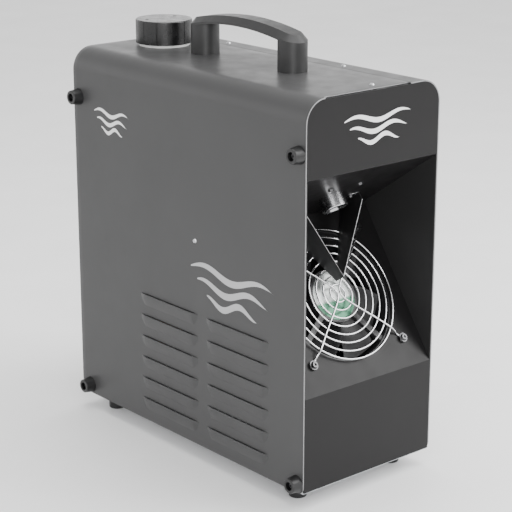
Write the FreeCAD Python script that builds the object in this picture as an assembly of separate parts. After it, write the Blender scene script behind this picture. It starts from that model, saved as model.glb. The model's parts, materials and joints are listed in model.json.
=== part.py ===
import FreeCAD, Part

import math
import os

# A portable fog machine that stands on four rubber feet.
# All lengths are in millimetres. The case frame used below has X from the middle of the case,
# Y back from the front face and Z up from the case's bottom edge. Every piece is moved to the
# row frame as it is written: X and Y centred on the whole machine, Z = 0 under the feet.
# The recess frame is tilted with the fan plate: X as before, S up along the plate from its
# lower edge, and height out of the plate.

V = FreeCAD.Vector

# Fits and fasteners; every value but FIT is a radius
FIT = 0.1
M3 = 1.5
M3_TIGHT = 1.55
M3_CLEAR = 1.7
M4 = 2.0
M4_CLEAR = 2.05
M4_LOOSE = 2.3
M6 = 3.0
M6_CLEAR = 3.05

# Case
CASE_WIDTH = 207.0
CASE_LENGTH = 438.0
CASE_HEIGHT = 460.0
SHEET = 1.5
CORNER_RADIUS = 28.0
REAR_PROUD = 5.0
FOOT_HEIGHT = 21.0
REAR = CASE_LENGTH
HALF_WIDTH = CASE_WIDTH / 2
INNER_WIDTH = HALF_WIDTH - SHEET
PANEL_HALF = INNER_WIDTH - FIT
PANEL_TOP = CASE_HEIGHT - SHEET - FIT
CENTRE_Y = CASE_LENGTH / 2

# Covers
SEAM_X = 55.5
SEAM_GAP = 0.3
SEAM_LAP = 19.0
LOWER_CORNER = 8.0
FRONT_SLOT = 3.0
LOUVRE_LENGTH = 114.0
LOUVRE_HEIGHT = 15.0
LOUVRE_STANDOUT = 3.0
LOUVRE_PITCH = 27.9
LOUVRE_TOP = 169.5
LOUVRE_ROWS = 6
LOUVRE_SKIN = 1.1
LOUVRE_END = 14.0
LOUVRE_STARTS = (60.0, 190.0)
SIDE_SCREW = (194.0, 261.0)
SEAM_SCREWS = (122.0, 335.0)
SEAM_SCREW_X = 66.5
FRONT_SCREW = (12.5, 19.0)

# Bumpers on the sides and feet below: places of their middles
BUMPER_INSET = 10.5
BUMPER_LOW = 11.5
BUMPER_HIGH = 399.0
BUMPER_DEPTH = 12.5
BUMPER_FLOOR = 6.0
FOOT_FLOOR = 8.0
FLANGE_DEPTH = 20.0
FLANGE_TOP = 428.0
BUMPER_PLACES = (
    (BUMPER_INSET, BUMPER_HIGH),
    (CASE_LENGTH - BUMPER_INSET, BUMPER_HIGH),
    (BUMPER_INSET, BUMPER_LOW),
    (CASE_LENGTH - 18.0, BUMPER_LOW),
)
FOOT_X = HALF_WIDTH - 27.0
FOOT_FRONT = 38.5
FOOT_PLACES = tuple((x, y) for x in (-FOOT_X, FOOT_X) for y in (FOOT_FRONT, CASE_LENGTH - FOOT_FRONT))
SCREW_SEAT = 5.2

# Recess in the front: fan plate and nozzle plate at right angles to each other
LOWER_PANEL_TOP = 116.6
FAN_PLATE_ANGLE = 55.8
PLATE_SIN = math.sin(math.radians(FAN_PLATE_ANGLE))
PLATE_COS = math.cos(math.radians(FAN_PLATE_ANGLE))
PLATE_RISE = 210.0
RECESS_SPAN = PLATE_RISE * PLATE_COS / PLATE_SIN
FASCIA_BOTTOM = LOWER_PANEL_TOP + PLATE_RISE * PLATE_SIN + RECESS_SPAN * PLATE_COS
CHEEK = 1.2
PLATE_HALF = INNER_WIDTH - CHEEK - FIT

# Fan
FAN_S = 107.0
FAN_SIDE = 168.0
FAN_DEPTH = 38.0
FAN_BORE = 79.5
FAN_HOLE_PITCH = 144.5
FAN_TOP = -SHEET - FIT
FAN_BACK = FAN_TOP - FAN_DEPTH
HUB_RADIUS = 33.0
SHAFT_RADIUS = 2.5
SHAFT_GAP = 0.05
BOSS_RADIUS = 6.0
LABEL_SEAT = 2.5
BLADES = 7
BLADE_TIP = 77.5
PLATE_HOLE = 81.5

# Guard
WIRE = 1.1
GUARD_HEIGHT = 5.0
GUARD_RINGS = 8
RING_PITCH = 10.0
SMALL_RING = 10.8
LOOP_RADIUS = 4.0
CORNER_SEAT = 2 * WIRE

# Nozzle, deflector and heater
NOZZLE_HEIGHT = 57.0
NOZZLE_TIP = 194.0
NOZZLE_RADIUS = 15.5
NOZZLE_BORE = 6.2
STUB_RADIUS = 8.0
STUB_LENGTH = 13.0
HEATER_START = 222.3
HEATER_END = 330.0
HEATER_HALF = 32.0
HEATER_LOW = 35.0
HEATER_HIGH = 79.0
HEATER_INLET_S = 300.0
JACKET_START = 252.0
JACKET = 10.0
DEFLECTOR_FOLD = 121.0
DEFLECTOR_SLOPE = 0.59
DEFLECTOR_TOP = 209.0
DEFLECTOR_LOW = 11.0
DEFLECTOR_SHEET = 1.0
DEFLECTOR_SCREWS = ((-42.5, 43.0), (42.5, 43.0))
BRACKET_SCREWS = ((-23.0, 87.0), (23.0, 87.0))
CARTRIDGE_X = 20.0
CARTRIDGE_RADIUS = 5.0
BRACKET_HOLE = 16.0

# Tank and cap
TANK_HALF = 80.0
TANK_FRONT = 322.0
TANK_BACK = 414.0
TANK_BOTTOM = 225.0
TANK_TOP = 440.0
TANK_WALL = 2.5
LID = 4.0
CAP_Y = 383.4
CAP_RADIUS = 36.0
CAP_BORE = 34.0
CAP_BOTTOM = 463.5
CAP_TOP = 493.0
CAP_FLATS = 12
NECK_RADIUS = 29.5
NECK_BORE = 27.5
NECK_TOP = 488.0
THREAD = 1.0
SEAL = 1.7
COLLAR_RADIUS = 32.5
COLLAR_BOTTOM = 454.0
OUTLET_Y = 365.0
OUTLET_RADIUS = 5.0
SHELF = 1.5
STRAP_LOW = 330.0
STRAP_HIGH = 345.0
STRAP = 1.2

# Handle
HANDLE_SPAN = 161.6
POST_RADIUS = 17.75
HANDLE_APEX = 54.0
HANDLE_END = 42.0
GRIP_THICK = 9.8
HANDLE_BEVEL = 7.0

# Pump
PUMP_X = -45.0
PUMP_Y = 335.0
PUMP_BORE = 6.05
PISTON_RADIUS = 6.0
CORE_RADIUS = 9.0
COIL_HALF = 20.0
YOKE = 2.0
YOKE_LOW = 82.0
YOKE_HIGH = 124.0
OUTLET_Z = 64.0
HOSE_RADIUS = 4.0
HOSE_BORE = 2.5
BARB = 2.4
BARB_BORE = 1.4

# Rear controls and sockets
DISPLAY_Z = 380.0
BUTTON_Z = 348.0
BUTTON_XS = (-36.0, -12.0, 12.0, 36.0)
BUTTON_RADIUS = 4.0
DATA_Z = 180.0
DATA_X = 30.0
DATA_SHELL = 11.9
PIN_CIRCLE = 3.8
REMOTE_Z = 130.0
POWER_Z = 62.0
INLET_X = 42.0
SWITCH_X = -42.0
PIVOT_Y = REAR - 2.0
SOCKET_DEPTH = 16.0
FUSE_Z = POWER_Z - 14.0

# From the case's frame to the part's own: under the feet, in the middle of the whole width and length
ROW_OFFSET = V((BUMPER_DEPTH - LOUVRE_STANDOUT) / 2, -(CASE_LENGTH + REAR_PROUD) / 2, FOOT_HEIGHT)


def box(x0, x1, y0, y1, z0, z1):
    return Part.makeBox(x1 - x0, y1 - y0, z1 - z0, V(x0, y0, z0))


def rod(radius, start, end):
    step = end - start
    return Part.makeCylinder(radius, step.Length, start, step)


def cone(radius_start, radius_end, start, end):
    step = end - start
    return Part.makeCone(radius_start, radius_end, step.Length, start, step)


def tube(outer, inner, start, end):
    return rod(outer, start, end).cut(rod(inner, start, end))


def polygon(points):
    corners = [V(*point) for point in points]
    return Part.Face(Part.makePolygon(corners + corners[:1]))


def join(shapes):
    whole = shapes[0]
    if len(shapes) > 1:
        whole = shapes[0].fuse(shapes[1:])
    return whole.removeSplitter()


def mirror_x(shape):
    return shape.mirror(V(0, 0, 0), V(1, 0, 0))


def in_recess(shape):
    turned = shape.copy()
    turned.rotate(V(0, 0, 0), V(1, 0, 0), FAN_PLATE_ANGLE)
    turned.translate(V(0, 0, LOWER_PANEL_TOP))
    return turned


def recess_point(x, s, height):
    y = s * PLATE_COS - height * PLATE_SIN
    z = LOWER_PANEL_TOP + s * PLATE_SIN + height * PLATE_COS
    return V(x, y, z)


def rounded_bar(x0, x1, y0, y1, z0, z1, radius, axis):
    """A box whose four edges along one axis are rounded."""
    solid = box(x0, x1, y0, y1, z0, z1)
    edges = []
    for edge in solid.Edges:
        direction = edge.tangentAt(edge.FirstParameter)
        if abs(direction.dot(axis)) > 0.99:
            edges.append(edge)
    return solid.makeFillet(radius, edges)


def rounded_front(half, top, bottom, radius, y0, y1):
    """A plate with its two upper corners rounded, as seen from the front."""
    solid = box(-half, half, y0, y1, bottom, top)
    corners = []
    for edge in solid.Edges:
        middle = edge.CenterOfMass
        if abs(middle.z - top) < 0.01 and abs(abs(middle.x) - half) < 0.01:
            corners.append(edge)
    return solid.makeFillet(radius, corners)


# ---- case ----

def folded_sheet(seam):
    """Side wall, rounded top edge and top of one cover, on the -X side."""
    side = -HALF_WIDTH
    inner = side + SHEET
    bend = side + CORNER_RADIUS
    low = CASE_HEIGHT - CORNER_RADIUS
    top = CASE_HEIGHT
    under = top - SHEET
    diagonal = math.sqrt(0.5)
    outer_mid = V(bend - CORNER_RADIUS * diagonal, 0, low + CORNER_RADIUS * diagonal)
    reach = (CORNER_RADIUS - SHEET) * diagonal
    inner_mid = V(bend - reach, 0, low + reach)
    edges = [
        Part.LineSegment(V(side, 0, 0), V(side, 0, low)),
        Part.Arc(V(side, 0, low), outer_mid, V(bend, 0, top)),
        Part.LineSegment(V(bend, 0, top), V(seam, 0, top)),
        Part.LineSegment(V(seam, 0, top), V(seam, 0, under)),
        Part.LineSegment(V(seam, 0, under), V(bend, 0, under)),
        Part.Arc(V(bend, 0, under), inner_mid, V(inner, 0, low)),
        Part.LineSegment(V(inner, 0, low), V(inner, 0, 0)),
        Part.LineSegment(V(inner, 0, 0), V(side, 0, 0)),
    ]
    wire = Part.Wire([edge.toShape() for edge in edges])
    sheet = Part.Face(wire).extrude(V(0, CASE_LENGTH, 0))
    corners = []
    for edge in sheet.Edges:
        middle = edge.CenterOfMass
        at_end = middle.y < 0.01 or middle.y > CASE_LENGTH - 0.01
        across = abs(edge.tangentAt(edge.FirstParameter).x) > 0.99
        if at_end and across and middle.z < 0.01:
            corners.append(edge)
    return sheet.makeFillet(LOWER_CORNER, corners)


def louvre_wedge(start, top, inset, rise):
    """Wedge that stands out most at its upper edge, with triangular ends that run out to nothing."""
    side = -HALF_WIDTH
    end = start + LOUVRE_LENGTH - inset
    begin = start + inset
    low = top - LOUVRE_HEIGHT + inset * 1.5
    a = V(side, begin, top)
    b = V(side, end, top)
    c = V(side, end, low)
    d = V(side, begin, low)
    e = V(side - rise, begin + LOUVRE_END, top)
    f = V(side - rise, end - LOUVRE_END, top)
    loops = [(a, b, c, d), (e, d, c, f), (a, d, e), (b, f, c), (a, e, f, b)]
    faces = [Part.Face(Part.makePolygon(list(loop) + [loop[0]])) for loop in loops]
    return Part.Solid(Part.Shell(faces))


def add_louvres(sheet):
    hoods = []
    slots = []
    slot_inset = 6
    slot_height = 9
    for start in LOUVRE_STARTS:
        for row in range(LOUVRE_ROWS):
            top = LOUVRE_TOP - row * LOUVRE_PITCH
            hood = louvre_wedge(start, top, 0.0, LOUVRE_STANDOUT)
            hollow = louvre_wedge(start, top, LOUVRE_SKIN, LOUVRE_STANDOUT - LOUVRE_SKIN)
            hoods.append(hood.cut(hollow))
            first = start + slot_inset
            last = start + LOUVRE_LENGTH - slot_inset
            slots.append(box(-HALF_WIDTH - 0.01, -INNER_WIDTH + 1, first, last, top - slot_height, top))
    return sheet.fuse(hoods).cut(Part.makeCompound(slots)).removeSplitter()


def side_bores():
    """Holes for the bumper screws and the side screw, on the -X side."""
    reach = V(SHEET + 4, 0, 0)
    outside = -HALF_WIDTH - 1
    holes = []
    for y, z in BUMPER_PLACES:
        start = V(outside, y, z)
        holes.append(rod(M4_LOOSE, start, start + reach))
    start = V(outside, SIDE_SCREW[0], SIDE_SCREW[1])
    holes.append(rod(M3_CLEAR, start, start + reach))
    return Part.makeCompound(holes)


def top_bore(x, y, radius):
    return rod(radius, V(x, y, CASE_HEIGHT - 12), V(x, y, CASE_HEIGHT + 1))


def cover_left():
    sheet = add_louvres(folded_sheet(SEAM_X))
    under = CASE_HEIGHT - 2 * SHEET
    lap = box(SEAM_X - 3, SEAM_X + SEAM_LAP, 6, CASE_LENGTH - 6, under, under + SHEET)
    slot = box(-HALF_WIDTH + CORNER_RADIUS, SEAM_X + 1, -1, FRONT_SLOT, under, CASE_HEIGHT + 1)
    cuts = [slot, side_bores(), top_bore(0, CAP_Y, COLLAR_RADIUS + 0.7)]
    for y in (CENTRE_Y - HANDLE_SPAN / 2, CENTRE_Y + HANDLE_SPAN / 2):
        cuts.append(top_bore(0, y, M6 + 0.4))
    for y in SEAM_SCREWS:
        cuts.append(top_bore(SEAM_SCREW_X, y, M3_TIGHT))
    cuts.append(top_bore(FRONT_SCREW[0], FRONT_SCREW[1], M3_CLEAR))
    return join([sheet, lap]).cut(cuts)


def cover_right():
    sheet = add_louvres(folded_sheet(-SEAM_X - SEAM_GAP))
    cuts = [side_bores()]
    for y in SEAM_SCREWS:
        cuts.append(top_bore(-SEAM_SCREW_X, y, M3_CLEAR))
    return mirror_x(sheet.cut(cuts))


def flange_bores(places, half, span):
    cuts = []
    for y, z in places:
        cuts.append(rod(M4_CLEAR, V(-half - span, y, z), V(half + span, y, z)))
    return cuts


def base_pan():
    flange_height = 24
    front = SHEET + FIT
    back = CASE_LENGTH - SHEET - FIT
    floor = box(-PANEL_HALF, PANEL_HALF, front, back, 0, SHEET)
    side = box(-PANEL_HALF, -PANEL_HALF + SHEET, front, back, 0, flange_height)
    pan = join([floor, side, mirror_x(side)])
    cuts = flange_bores(BUMPER_PLACES[2:], PANEL_HALF, 1)
    for x, y in FOOT_PLACES:
        cuts.append(rod(M4_CLEAR, V(x, y, -1), V(x, y, SHEET + 1)))
    slot_half = 30
    slot_width = 5
    slot_pitch = 14
    for row in range(6):
        y = 200 + row * slot_pitch
        cuts.append(box(-slot_half, slot_half, y, y + slot_width, -1, SHEET + 1))
    return pan.cut(cuts)


def nozzle_panel():
    """Fascia at the front and the tilted nozzle plate behind it."""
    corner = CORNER_RADIUS - SHEET - FIT
    fascia = rounded_front(PANEL_HALF, PANEL_TOP, FASCIA_BOTTOM, corner, 0, SHEET)
    plate = box(-PLATE_HALF, PLATE_HALF, PLATE_RISE, PLATE_RISE + SHEET, 0, RECESS_SPAN)
    flange = box(-PANEL_HALF, -PANEL_HALF + SHEET, 0, FLANGE_DEPTH, FASCIA_BOTTOM + SHEET, FLANGE_TOP)
    tab_x, tab_y = FRONT_SCREW
    tab_half = 9
    tab = box(tab_x - tab_half, tab_x + tab_half, 0, tab_y + tab_half, PANEL_TOP - SHEET, PANEL_TOP)
    panel = join([fascia, in_recess(plate), flange, mirror_x(flange), tab])
    cuts = flange_bores(BUMPER_PLACES[:1], PANEL_HALF, 1)
    cuts.append(top_bore(tab_x, tab_y, M3_TIGHT))
    front = V(0, PLATE_RISE - 1, NOZZLE_HEIGHT)
    cuts.append(in_recess(rod(NOZZLE_RADIUS + 0.4, front, front + V(0, 4, 0))))
    for x, height in DEFLECTOR_SCREWS + BRACKET_SCREWS:
        start = V(x, PLATE_RISE - 1, height)
        cuts.append(in_recess(rod(M4_CLEAR, start, start + V(0, 4, 0))))
    return panel.cut(cuts)


def fan_panel():
    lower = box(-PANEL_HALF, PANEL_HALF, 0, SHEET, SHEET + FIT, LOWER_PANEL_TOP)
    plate = box(-PLATE_HALF, PLATE_HALF, 0, PLATE_RISE - FIT, -SHEET, 0)
    panel = join([lower, in_recess(plate)])
    through = V(0, 0, 4)
    middle = V(0, FAN_S, 0)
    cuts = [in_recess(rod(PLATE_HOLE, middle - through, middle + through))]
    for x, s in fan_corners():
        at = V(x, s, 0)
        cuts.append(in_recess(rod(M4_LOOSE, at - through, at + through)))
    return panel.cut(cuts)


def recess_cheek():
    """Thin black wall that closes the side of the recess, on the -X side."""
    inset = 0.6
    margin = 6
    behind = PLATE_RISE * PLATE_COS + margin
    crease = LOWER_PANEL_TOP + PLATE_RISE * PLATE_SIN
    corners = [
        (-INNER_WIDTH, 0, LOWER_PANEL_TOP + inset),
        (-INNER_WIDTH, 0, FASCIA_BOTTOM - inset),
        (-INNER_WIDTH, behind, crease + margin),
        (-INNER_WIDTH, behind, crease - margin),
    ]
    return polygon(corners).extrude(V(CHEEK, 0, 0))


def vent_slots():
    slots = []
    middle = 42
    half = 28
    for side in (-1, 1):
        for row in range(7):
            z = 226 + row * 11
            x = side * middle
            slots.append(box(x - half, x + half, REAR - 3, REAR + 1, z, z + 4))
    return slots


def rear_panel():
    radius = CORNER_RADIUS - SHEET - FIT
    plate = rounded_front(PANEL_HALF, PANEL_TOP, SHEET + FIT, radius, REAR - SHEET, REAR)
    flange = box(-PANEL_HALF, -PANEL_HALF + SHEET, REAR - FLANGE_DEPTH, REAR, 26, FLANGE_TOP)
    panel = join([plate, flange, mirror_x(flange)])
    front = REAR - 3
    behind = REAR + 1
    gap = 0.2
    cuts = flange_bores(BUMPER_PLACES[1:2], PANEL_HALF, 1)
    cuts.append(box(-26 - gap, 26 + gap, front, behind, DISPLAY_Z - 11 - gap, DISPLAY_Z + 11 + gap))
    for x in BUTTON_XS:
        cuts.append(rod(BUTTON_RADIUS + 0.3, V(x, front, BUTTON_Z), V(x, behind, BUTTON_Z)))
    for x in (-DATA_X, DATA_X):
        cuts.append(rod(DATA_SHELL + 0.3, V(x, front, DATA_Z), V(x, behind, DATA_Z)))
    cuts.append(box(-DATA_X - 4.6, -DATA_X + 4.6, front, behind, DATA_Z, DATA_Z + 13.9))
    cuts.append(rod(9 + gap, V(0, front, REMOTE_Z), V(0, behind, REMOTE_Z)))
    inlet_half = 14 + gap
    cuts.append(box(INLET_X - inlet_half, INLET_X + inlet_half, front, behind,
                    POWER_Z - 22 - gap, POWER_Z + 16 + gap))
    switch_half = 13.7
    switch_rise = 10.7
    cuts.append(box(SWITCH_X - switch_half, SWITCH_X + switch_half, front, behind,
                    POWER_Z - switch_rise, POWER_Z + switch_rise))
    return panel.cut(cuts + vent_slots())


# ---- fan ----

def fan_corners():
    half = FAN_HOLE_PITCH / 2
    return [(x, FAN_S + s) for x in (-half, half) for s in (-half, half)]


def fan_point(x, up, height):
    """Point measured from the fan's axis, at a height above the fan's front face."""
    return V(x, FAN_S + up, FAN_TOP + height)


def fan_disc(radius, low, high):
    return rod(radius, fan_point(0, 0, low), fan_point(0, 0, high))


def fan_frame():
    """Square frame whose motor carrier and struts face out of the machine."""
    half = FAN_SIDE / 2
    wall = 2.2
    flange = 6
    back = -FAN_DEPTH
    body = rounded_bar(-half, half, FAN_S - half, FAN_S + half, FAN_BACK, FAN_TOP, 9, V(0, 0, 1))
    bore = fan_disc(FAN_BORE, back - 1, 1)
    waist = fan_disc(half + 40, back + flange, -flange).cut(fan_disc(FAN_BORE + wall, back + flange, -flange))
    body = body.cut([bore, waist])
    pillars = []
    for x, s in fan_corners():
        pillar = rod(6.5, V(x, s, FAN_BACK + flange - 1), V(x, s, FAN_TOP - flange + 1))
        pillars.append(pillar.cut(bore))
    carrier = fan_disc(HUB_RADIUS, -9, -1.5)
    boss = fan_disc(BOSS_RADIUS, -30, -8)
    struts = []
    for angle in (35, 125, 215, 305):
        strut = box(HUB_RADIUS - 3, FAN_BORE + 2, -3.5, 3.5, FAN_TOP - 7.5, FAN_TOP - 2)
        strut.rotate(V(0, 0, 0), V(0, 0, 1), angle)
        strut.translate(V(0, FAN_S, 0))
        struts.append(strut)
    frame = join([body.fuse(pillars), carrier, boss] + struts)
    cuts = [fan_disc(SHAFT_RADIUS + SHAFT_GAP, -31, -4)]
    cuts.append(fan_disc(HUB_RADIUS - 3, -LABEL_SEAT, 0))
    for x, s in fan_corners():
        cuts.append(rod(M4_CLEAR, V(x, s, FAN_BACK - 1), V(x, s, FAN_TOP + 1)))
    return in_recess(frame.cut(cuts))


def fan_label():
    """Round cover disc set into the motor carrier."""
    return in_recess(fan_disc(HUB_RADIUS - 3.3, -LABEL_SEAT, -1.4))


def fan_stator():
    """Motor winding round the frame's bearing boss."""
    return in_recess(fan_disc(25.5, -29, -12).cut(fan_disc(BOSS_RADIUS + 0.05, -29, -12)))


def fan_impeller():
    """Cup-shaped hub with its shaft and seven pitched blades."""
    front = -10.5
    back = 1.5 - FAN_DEPTH
    hub = fan_disc(31.5, back, front)
    hollow = fan_disc(28, back + 3, front + 1)
    shaft = fan_disc(SHAFT_RADIUS, back, -5)
    chord = 34
    blades = []
    for index in range(BLADES):
        blade = box(30, BLADE_TIP + 4, -chord / 2, chord / 2, -1, 1)
        blade.rotate(V(0, 0, 0), V(1, 0, 0), 40)
        blade.rotate(V(0, 0, 0), V(0, 0, 1), 360.0 * index / BLADES)
        blade.translate(fan_point(0, 0, (front + back) / 2))
        blades.append(blade)
    sweep = fan_disc(BLADE_TIP, back, front).cut(fan_disc(30, back, front))
    trimmed = [blade.common(sweep) for blade in blades]
    return in_recess(join([hub.cut(hollow), shaft] + trimmed))


def bent_wire(points, radius):
    shapes = []
    for start, end in zip(points, points[1:]):
        shapes.append(rod(radius, start, end))
    for point in points[1:-1]:
        shapes.append(Part.makeSphere(radius, point))
    return shapes


def guard_leg(side):
    """Wire from one screw loop to near the middle and back out to the loop below it."""
    half = FAN_HOLE_PITCH / 2
    height = GUARD_HEIGHT + 2 * WIRE - 0.2
    tip = 8.0
    bend = 20.0
    slope = math.atan2(half, half + tip)
    run = bend / math.tan(slope)
    centre_x = tip - bend / math.sin(slope)
    out = half - LOOP_RADIUS / math.sqrt(2)
    flat = 3
    rise_start = half - 16
    points = [
        V(-out, out, WIRE),
        V(-out + flat, out - flat, WIRE),
        V(-rise_start, rise_start * 0.985, height),
        V(tip - run * math.cos(slope), run * math.sin(slope), height),
    ]
    lower = [V(point.x, -point.y, point.z) for point in reversed(points)]
    steps = 10
    for index in range(1, steps):
        angle = (math.pi / 2 - slope) * (1 - 2.0 * index / steps)
        points.append(V(centre_x + bend * math.cos(angle), bend * math.sin(angle), height))
    return [V(side * point.x, point.y + FAN_S, point.z) for point in points + lower]


def fan_guard():
    shapes = []
    for index in range(GUARD_RINGS):
        radius = SMALL_RING + index * RING_PITCH
        shapes.append(Part.makeTorus(radius, WIRE, V(0, FAN_S, GUARD_HEIGHT), V(0, 0, 1)))
    for x, s in fan_corners():
        shapes.append(Part.makeTorus(LOOP_RADIUS, WIRE, V(x, s, WIRE), V(0, 0, 1)))
    for side in (1, -1):
        shapes.extend(bent_wire(guard_leg(side), WIRE))
    return in_recess(shapes[0].fuse(shapes[1:]))


def guard_screws():
    screws = []
    seat = CORNER_SEAT
    for x, s in fan_corners():
        washer = tube(5.6, 2.1, V(x, s, seat + 0.05), V(x, s, seat + 1))
        head = cone(4.4, 3.4, V(x, s, seat + 1), V(x, s, seat + 3.6))
        socket = rod(1.7, V(x, s, seat + 2), V(x, s, seat + 4))
        shank = rod(M4, V(x, s, FAN_TOP - 20), V(x, s, seat + 1.2))
        screws.append(in_recess(join([washer, head, shank]).cut(socket)))
    return Part.makeCompound(screws)


# ---- nozzle, deflector and heater ----

def nozzle():
    at = NOZZLE_HEIGHT
    tip = V(0, NOZZLE_TIP, at)
    seat = V(0, HEATER_START - FIT, at)
    barrel = rod(NOZZLE_RADIUS, tip, seat)
    rim = [edge for edge in barrel.Edges if abs(edge.CenterOfMass.y - NOZZLE_TIP) < 0.01]
    barrel = barrel.makeChamfer(0.8, rim)
    stub = rod(STUB_RADIUS, seat - V(0, 1, 0), V(0, HEATER_START + STUB_LENGTH, at))
    bore = rod(NOZZLE_BORE, tip - V(0, 1, 0), V(0, HEATER_START + STUB_LENGTH + 7, at))
    mouth = cone(9.0, NOZZLE_BORE, tip, tip + V(0, 4.5, 0))
    return in_recess(join([barrel, stub]).cut([bore, mouth]))


def deflector_wing():
    """One side of the V, with a tab at its upper end that lies on the nozzle plate."""
    across = DEFLECTOR_SHEET / math.cos(math.atan(DEFLECTOR_SLOPE))
    low = DEFLECTOR_LOW
    top = DEFLECTOR_TOP
    outline = [(DEFLECTOR_FOLD, low), (DEFLECTOR_FOLD, 26.4), (198.5, 57), (top, 49), (top, low)]
    corners = []
    for s, height in outline:
        corners.append(((s - DEFLECTOR_FOLD) * DEFLECTOR_SLOPE - across / 2, s, height))
    wing = polygon(corners).extrude(V(across, 0, 0))
    edge_x = (top - DEFLECTOR_FOLD) * DEFLECTOR_SLOPE
    tab = box(edge_x - 16, edge_x, PLATE_RISE - DEFLECTOR_SHEET, PLATE_RISE, low, 50)
    return join([wing, tab])


def fog_deflector():
    wing = deflector_wing()
    shape = join([wing, mirror_x(wing)])
    cuts = []
    for x, height in DEFLECTOR_SCREWS:
        start = V(x, PLATE_RISE - 3, height)
        cuts.append(rod(M4_CLEAR, start, start + V(0, 6, 0)))
    return in_recess(shape.cut(cuts))


def plate_screw(x, height, seat, reach):
    """Screw through the nozzle plate from the recess side; seat is what its head clamps."""
    head = cone(2.6, 3.6, V(x, seat - 2.4, height), V(x, seat, height))
    shank = rod(M4, V(x, seat - 0.5, height), V(x, seat + reach, height))
    socket = rod(1.4, V(x, seat - 3, height), V(x, seat - 1.2, height))
    return in_recess(join([head, shank]).cut(socket))


def nozzle_panel_screws():
    """Two screws hold the deflector's tabs, two hold the heater brackets."""
    screws = [plate_screw(x, height, PLATE_RISE - 1.0, 7) for x, height in DEFLECTOR_SCREWS]
    screws += [plate_screw(x, height, PLATE_RISE, 8) for x, height in BRACKET_SCREWS]
    return Part.makeCompound(screws)


def heater_block():
    at = NOZZLE_HEIGHT
    body = box(-HEATER_HALF, HEATER_HALF, HEATER_START, HEATER_END, HEATER_LOW, HEATER_HIGH)
    seat_end = V(0, HEATER_START + STUB_LENGTH + 1, at)
    nozzle_seat = rod(STUB_RADIUS + 0.02, V(0, HEATER_START - 1, at), seat_end)
    channel = rod(4, V(0, HEATER_START, at), V(0, HEATER_INLET_S, at))
    inlet = rod(4.02, V(0, HEATER_INLET_S, HEATER_LOW - 1), V(0, HEATER_INLET_S, at))
    cuts = [nozzle_seat, channel, inlet]
    for x in (-CARTRIDGE_X, CARTRIDGE_X):
        cuts.append(rod(CARTRIDGE_RADIUS + 0.02, V(x, HEATER_START + 20, at), V(x, HEATER_END + 1, at)))
    for x, height in BRACKET_SCREWS:
        s = HEATER_START + BRACKET_HOLE
        cuts.append(rod(1.6, V(x, s, HEATER_HIGH - 8), V(x, s, HEATER_HIGH + 1)))
    return in_recess(body.cut(cuts))


def heater_cartridges():
    """Two heating rods, each with a ceramic end."""
    at = NOZZLE_HEIGHT
    rods = []
    for x in (-CARTRIDGE_X, CARTRIDGE_X):
        sheath = rod(CARTRIDGE_RADIUS, V(x, HEATER_START + 21, at), V(x, HEATER_END + 2, at))
        ceramic = rod(3.6, V(x, HEATER_END + 2, at), V(x, HEATER_END + 15, at))
        rods.append(in_recess(join([sheath, ceramic])))
    return Part.makeCompound(rods)


def heater_brackets():
    """Two angles from the nozzle plate to the block, each with its screw into the block."""
    brackets = []
    start = PLATE_RISE + SHEET
    half = 7
    sheet = 1.5
    s = HEATER_START + BRACKET_HOLE
    for x, height in BRACKET_SCREWS:
        foot = box(x - half, x + half, start, start + sheet, HEATER_HIGH, height + half)
        leg = box(x - half, x + half, start, HEATER_START + 24, HEATER_HIGH, HEATER_HIGH + sheet)
        lug_hole = rod(M4_CLEAR, V(x, start - 1, height), V(x, start + 3, height))
        screw = rod(3.2, V(x, s, HEATER_HIGH + 1.4), V(x, s, HEATER_HIGH + 3.5))
        pin = rod(M3_TIGHT, V(x, s, HEATER_HIGH - 7), V(x, s, HEATER_HIGH + 2))
        brackets.append(in_recess(join([foot, leg, screw, pin]).cut(lug_hole)))
    return Part.makeCompound(brackets)


def heater_jacket():
    gap = 0.3
    half = HEATER_HALF + gap
    low = HEATER_LOW - gap
    high = HEATER_HIGH + gap
    end = HEATER_END + gap
    outer = box(-half - JACKET, half + JACKET, JACKET_START, end + JACKET, low - JACKET, high + JACKET)
    outer = outer.makeFillet(5, outer.Edges)
    cuts = [box(-half, half, JACKET_START - 1, end, low, high)]
    for x in (-CARTRIDGE_X, CARTRIDGE_X):
        start = V(x, end - 1, NOZZLE_HEIGHT)
        cuts.append(rod(CARTRIDGE_RADIUS + 0.6, start, start + V(0, JACKET + 2, 0)))
    cuts.append(rod(8.3, V(0, HEATER_INLET_S, low - JACKET - 1), V(0, HEATER_INLET_S, low + 1)))
    return in_recess(outer.cut(cuts))


def heater_inlet():
    """Brass hose fitting screwed into the underside of the heater block."""
    s = HEATER_INLET_S
    thread = rod(4, V(0, s, HEATER_LOW - 1), V(0, s, HEATER_LOW + 9))
    hexagon = hex_bar(14, V(0, s, HEATER_LOW - 8), V(0, s, HEATER_LOW - FIT))
    barb = rod(BARB, V(0, s, HEATER_LOW - 28), V(0, s, HEATER_LOW))
    bore = rod(BARB_BORE, V(0, s, HEATER_LOW - 29), V(0, s, HEATER_LOW + 10))
    return in_recess(join([thread, hexagon, barb]).cut(bore))


def hex_bar(across_flats, start, end):
    radius = across_flats / math.sqrt(3)
    step = end - start
    corners = []
    for index in range(7):
        angle = math.pi / 3 * index
        corners.append(V(radius * math.cos(angle), radius * math.sin(angle), 0))
    bar = Part.Face(Part.makePolygon(corners)).extrude(V(0, 0, step.Length))
    bar.Placement = FreeCAD.Placement(start, FreeCAD.Rotation(V(0, 0, 1), step))
    return bar


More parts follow.
